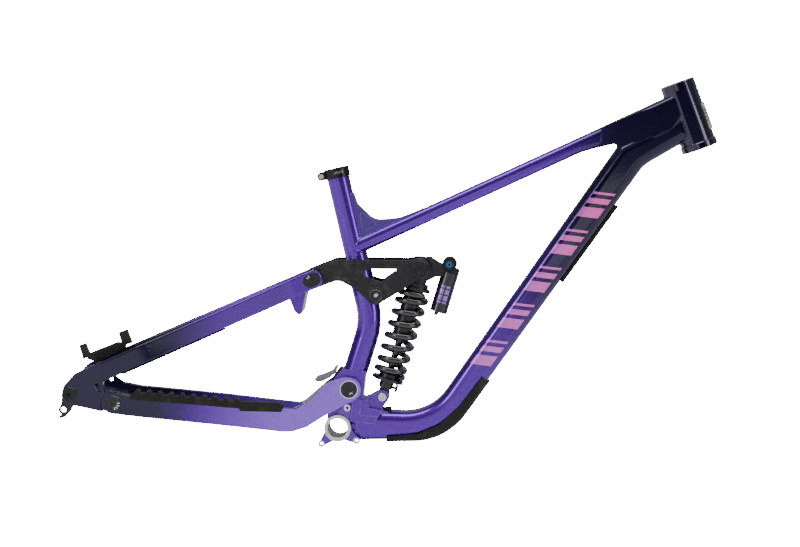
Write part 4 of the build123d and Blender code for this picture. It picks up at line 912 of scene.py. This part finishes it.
def thread_nodes():
    """Geometry nodes: thread crests as rings set along a bore."""
    tree = bpy.data.node_groups.new("bore_thread", "GeometryNodeTree")
    tree.interface.new_socket("Geometry", in_out="INPUT", socket_type="NodeSocketGeometry")
    for label, value in (("Bore", 0.0172), ("Depth", 0.00035), ("Pitch", 0.00106)):
        tree.interface.new_socket(label, in_out="INPUT", socket_type="NodeSocketFloat").default_value = value
    tree.interface.new_socket("Rings", in_out="INPUT", socket_type="NodeSocketInt").default_value = 20
    tree.interface.new_socket("Material", in_out="INPUT", socket_type="NodeSocketMaterial")
    tree.interface.new_socket("Geometry", in_out="OUTPUT", socket_type="NodeSocketGeometry")
    t = Tree(tree)
    gin, gout = t.add("NodeGroupInput"), t.add("NodeGroupOutput")
    step = t.add("ShaderNodeCombineXYZ", {0: 0.0, 1: gin.outputs["Pitch"], 2: 0.0})
    line = t.add("GeometryNodeMeshLine", {"Count": gin.outputs["Rings"], "Offset": step.outputs[0]})
    hoop = t.add("GeometryNodeCurvePrimitiveCircle", {"Resolution": 72, "Radius": gin.outputs["Bore"]})
    crest = t.add("GeometryNodeCurvePrimitiveCircle", {"Resolution": 6, "Radius": gin.outputs["Depth"]})
    ring = t.add("GeometryNodeCurveToMesh", {"Curve": hoop.outputs[0], "Profile Curve": crest.outputs[0]})
    upright = t.add("GeometryNodeTransform", {"Geometry": ring.outputs[0], "Rotation": (math.pi / 2, 0, 0)})
    rings = t.add("GeometryNodeInstanceOnPoints", {"Points": line.outputs[0], "Instance": upright.outputs[0]})
    real = t.add("GeometryNodeRealizeInstances", {"Geometry": rings.outputs[0]})
    shade = t.add("GeometryNodeSetShadeSmooth", {"Geometry": real.outputs[0]})
    coat = t.add("GeometryNodeSetMaterial",
                 {"Geometry": shade.outputs[0], "Material": gin.outputs["Material"]})
    t.put(gout.inputs["Geometry"], coat.outputs[0])
    return tree


def bore_threads():
    tree = thread_nodes()
    for side, start in (("right", -0.0355), ("left", 0.0355 - 19 * 0.00106)):
        thread = grown("shell_thread_" + side, bpy.data.meshes.new("thread_guide"), tree,
                       {"Rings": 20, "Material": M["shell"]}, "front_triangle", (0, start, 0))


make_camera()
floor_z = LOW.z - 0.002


def make_floor():
    size = 14.0
    mesh = bpy.data.meshes.new("floor")
    mesh.from_pydata([(-size, -size, floor_z), (size, -size, floor_z), (size, size, floor_z),
                      (-size, size, floor_z)], [], [(0, 1, 2, 3)])
    floor = bpy.data.objects.new("floor", mesh)
    bpy.context.scene.collection.objects.link(floor)
    def build(t, shader, out):
        here = t.here()
        cloud = t.add("ShaderNodeTexNoise", {"Vector": here, "Scale": 1.2, "Detail": 2.0}).outputs["Fac"]
        t.put(shader.inputs["Base Color"], t.mix(cloud, (0.90, 0.90, 0.90, 1), (0.94, 0.94, 0.94, 1)))
        seen = t.add("ShaderNodeLightPath").outputs["Is Camera Ray"]
        t.put(shader.inputs["Emission Strength"], t.math("MULTIPLY", seen, 30.0))
    mesh.materials.append(material("floor", {"Roughness": 0.9, "Emission Color": (1, 1, 1, 1)}, build))


def make_world():
    world = bpy.data.worlds.new("studio")
    bpy.context.scene.world = world
    world.use_nodes = True
    world.node_tree.nodes.clear()
    t = Tree(world.node_tree)
    seen = t.add("ShaderNodeLightPath").outputs["Is Camera Ray"]
    look = t.add("ShaderNodeSeparateXYZ", {0: t.add("ShaderNodeTexCoord").outputs["Generated"]})
    above = t.step(look.outputs["Z"], 0.05, 0.75)
    behind = t.step(look.outputs["Y"], -0.2, 0.6)
    fill = t.math("MULTIPLY_ADD", above, 0.34, t.math("MULTIPLY_ADD", behind, 0.16, 0.02))
    back = t.add("ShaderNodeBackground", {"Color": (1, 1, 1, 1), "Strength": t.lerp(seen, fill, 30.0)})
    t.add("ShaderNodeOutputWorld", {"Surface": back.outputs[0]})


make_floor()
make_world()
area_light("over", (0.1, -0.45, 2.2), (0.05, 0, 0.2), (3.4, 0.9), 62)
area_light("front_right", (3.0, -1.7, 0.9), (0.3, 0, 0.3), (0.9, 1.6), 26)
area_light("front_left", (-2.6, -2.6, 1.0), (-0.05, 0, 0.12), (1.0, 1.6), 44)
area_light("low", (0.2, -2.2, 0.25), (0.05, 0, 0.1), (2.6, 0.25), 3)

coil_spring()
welds()
bore_threads()
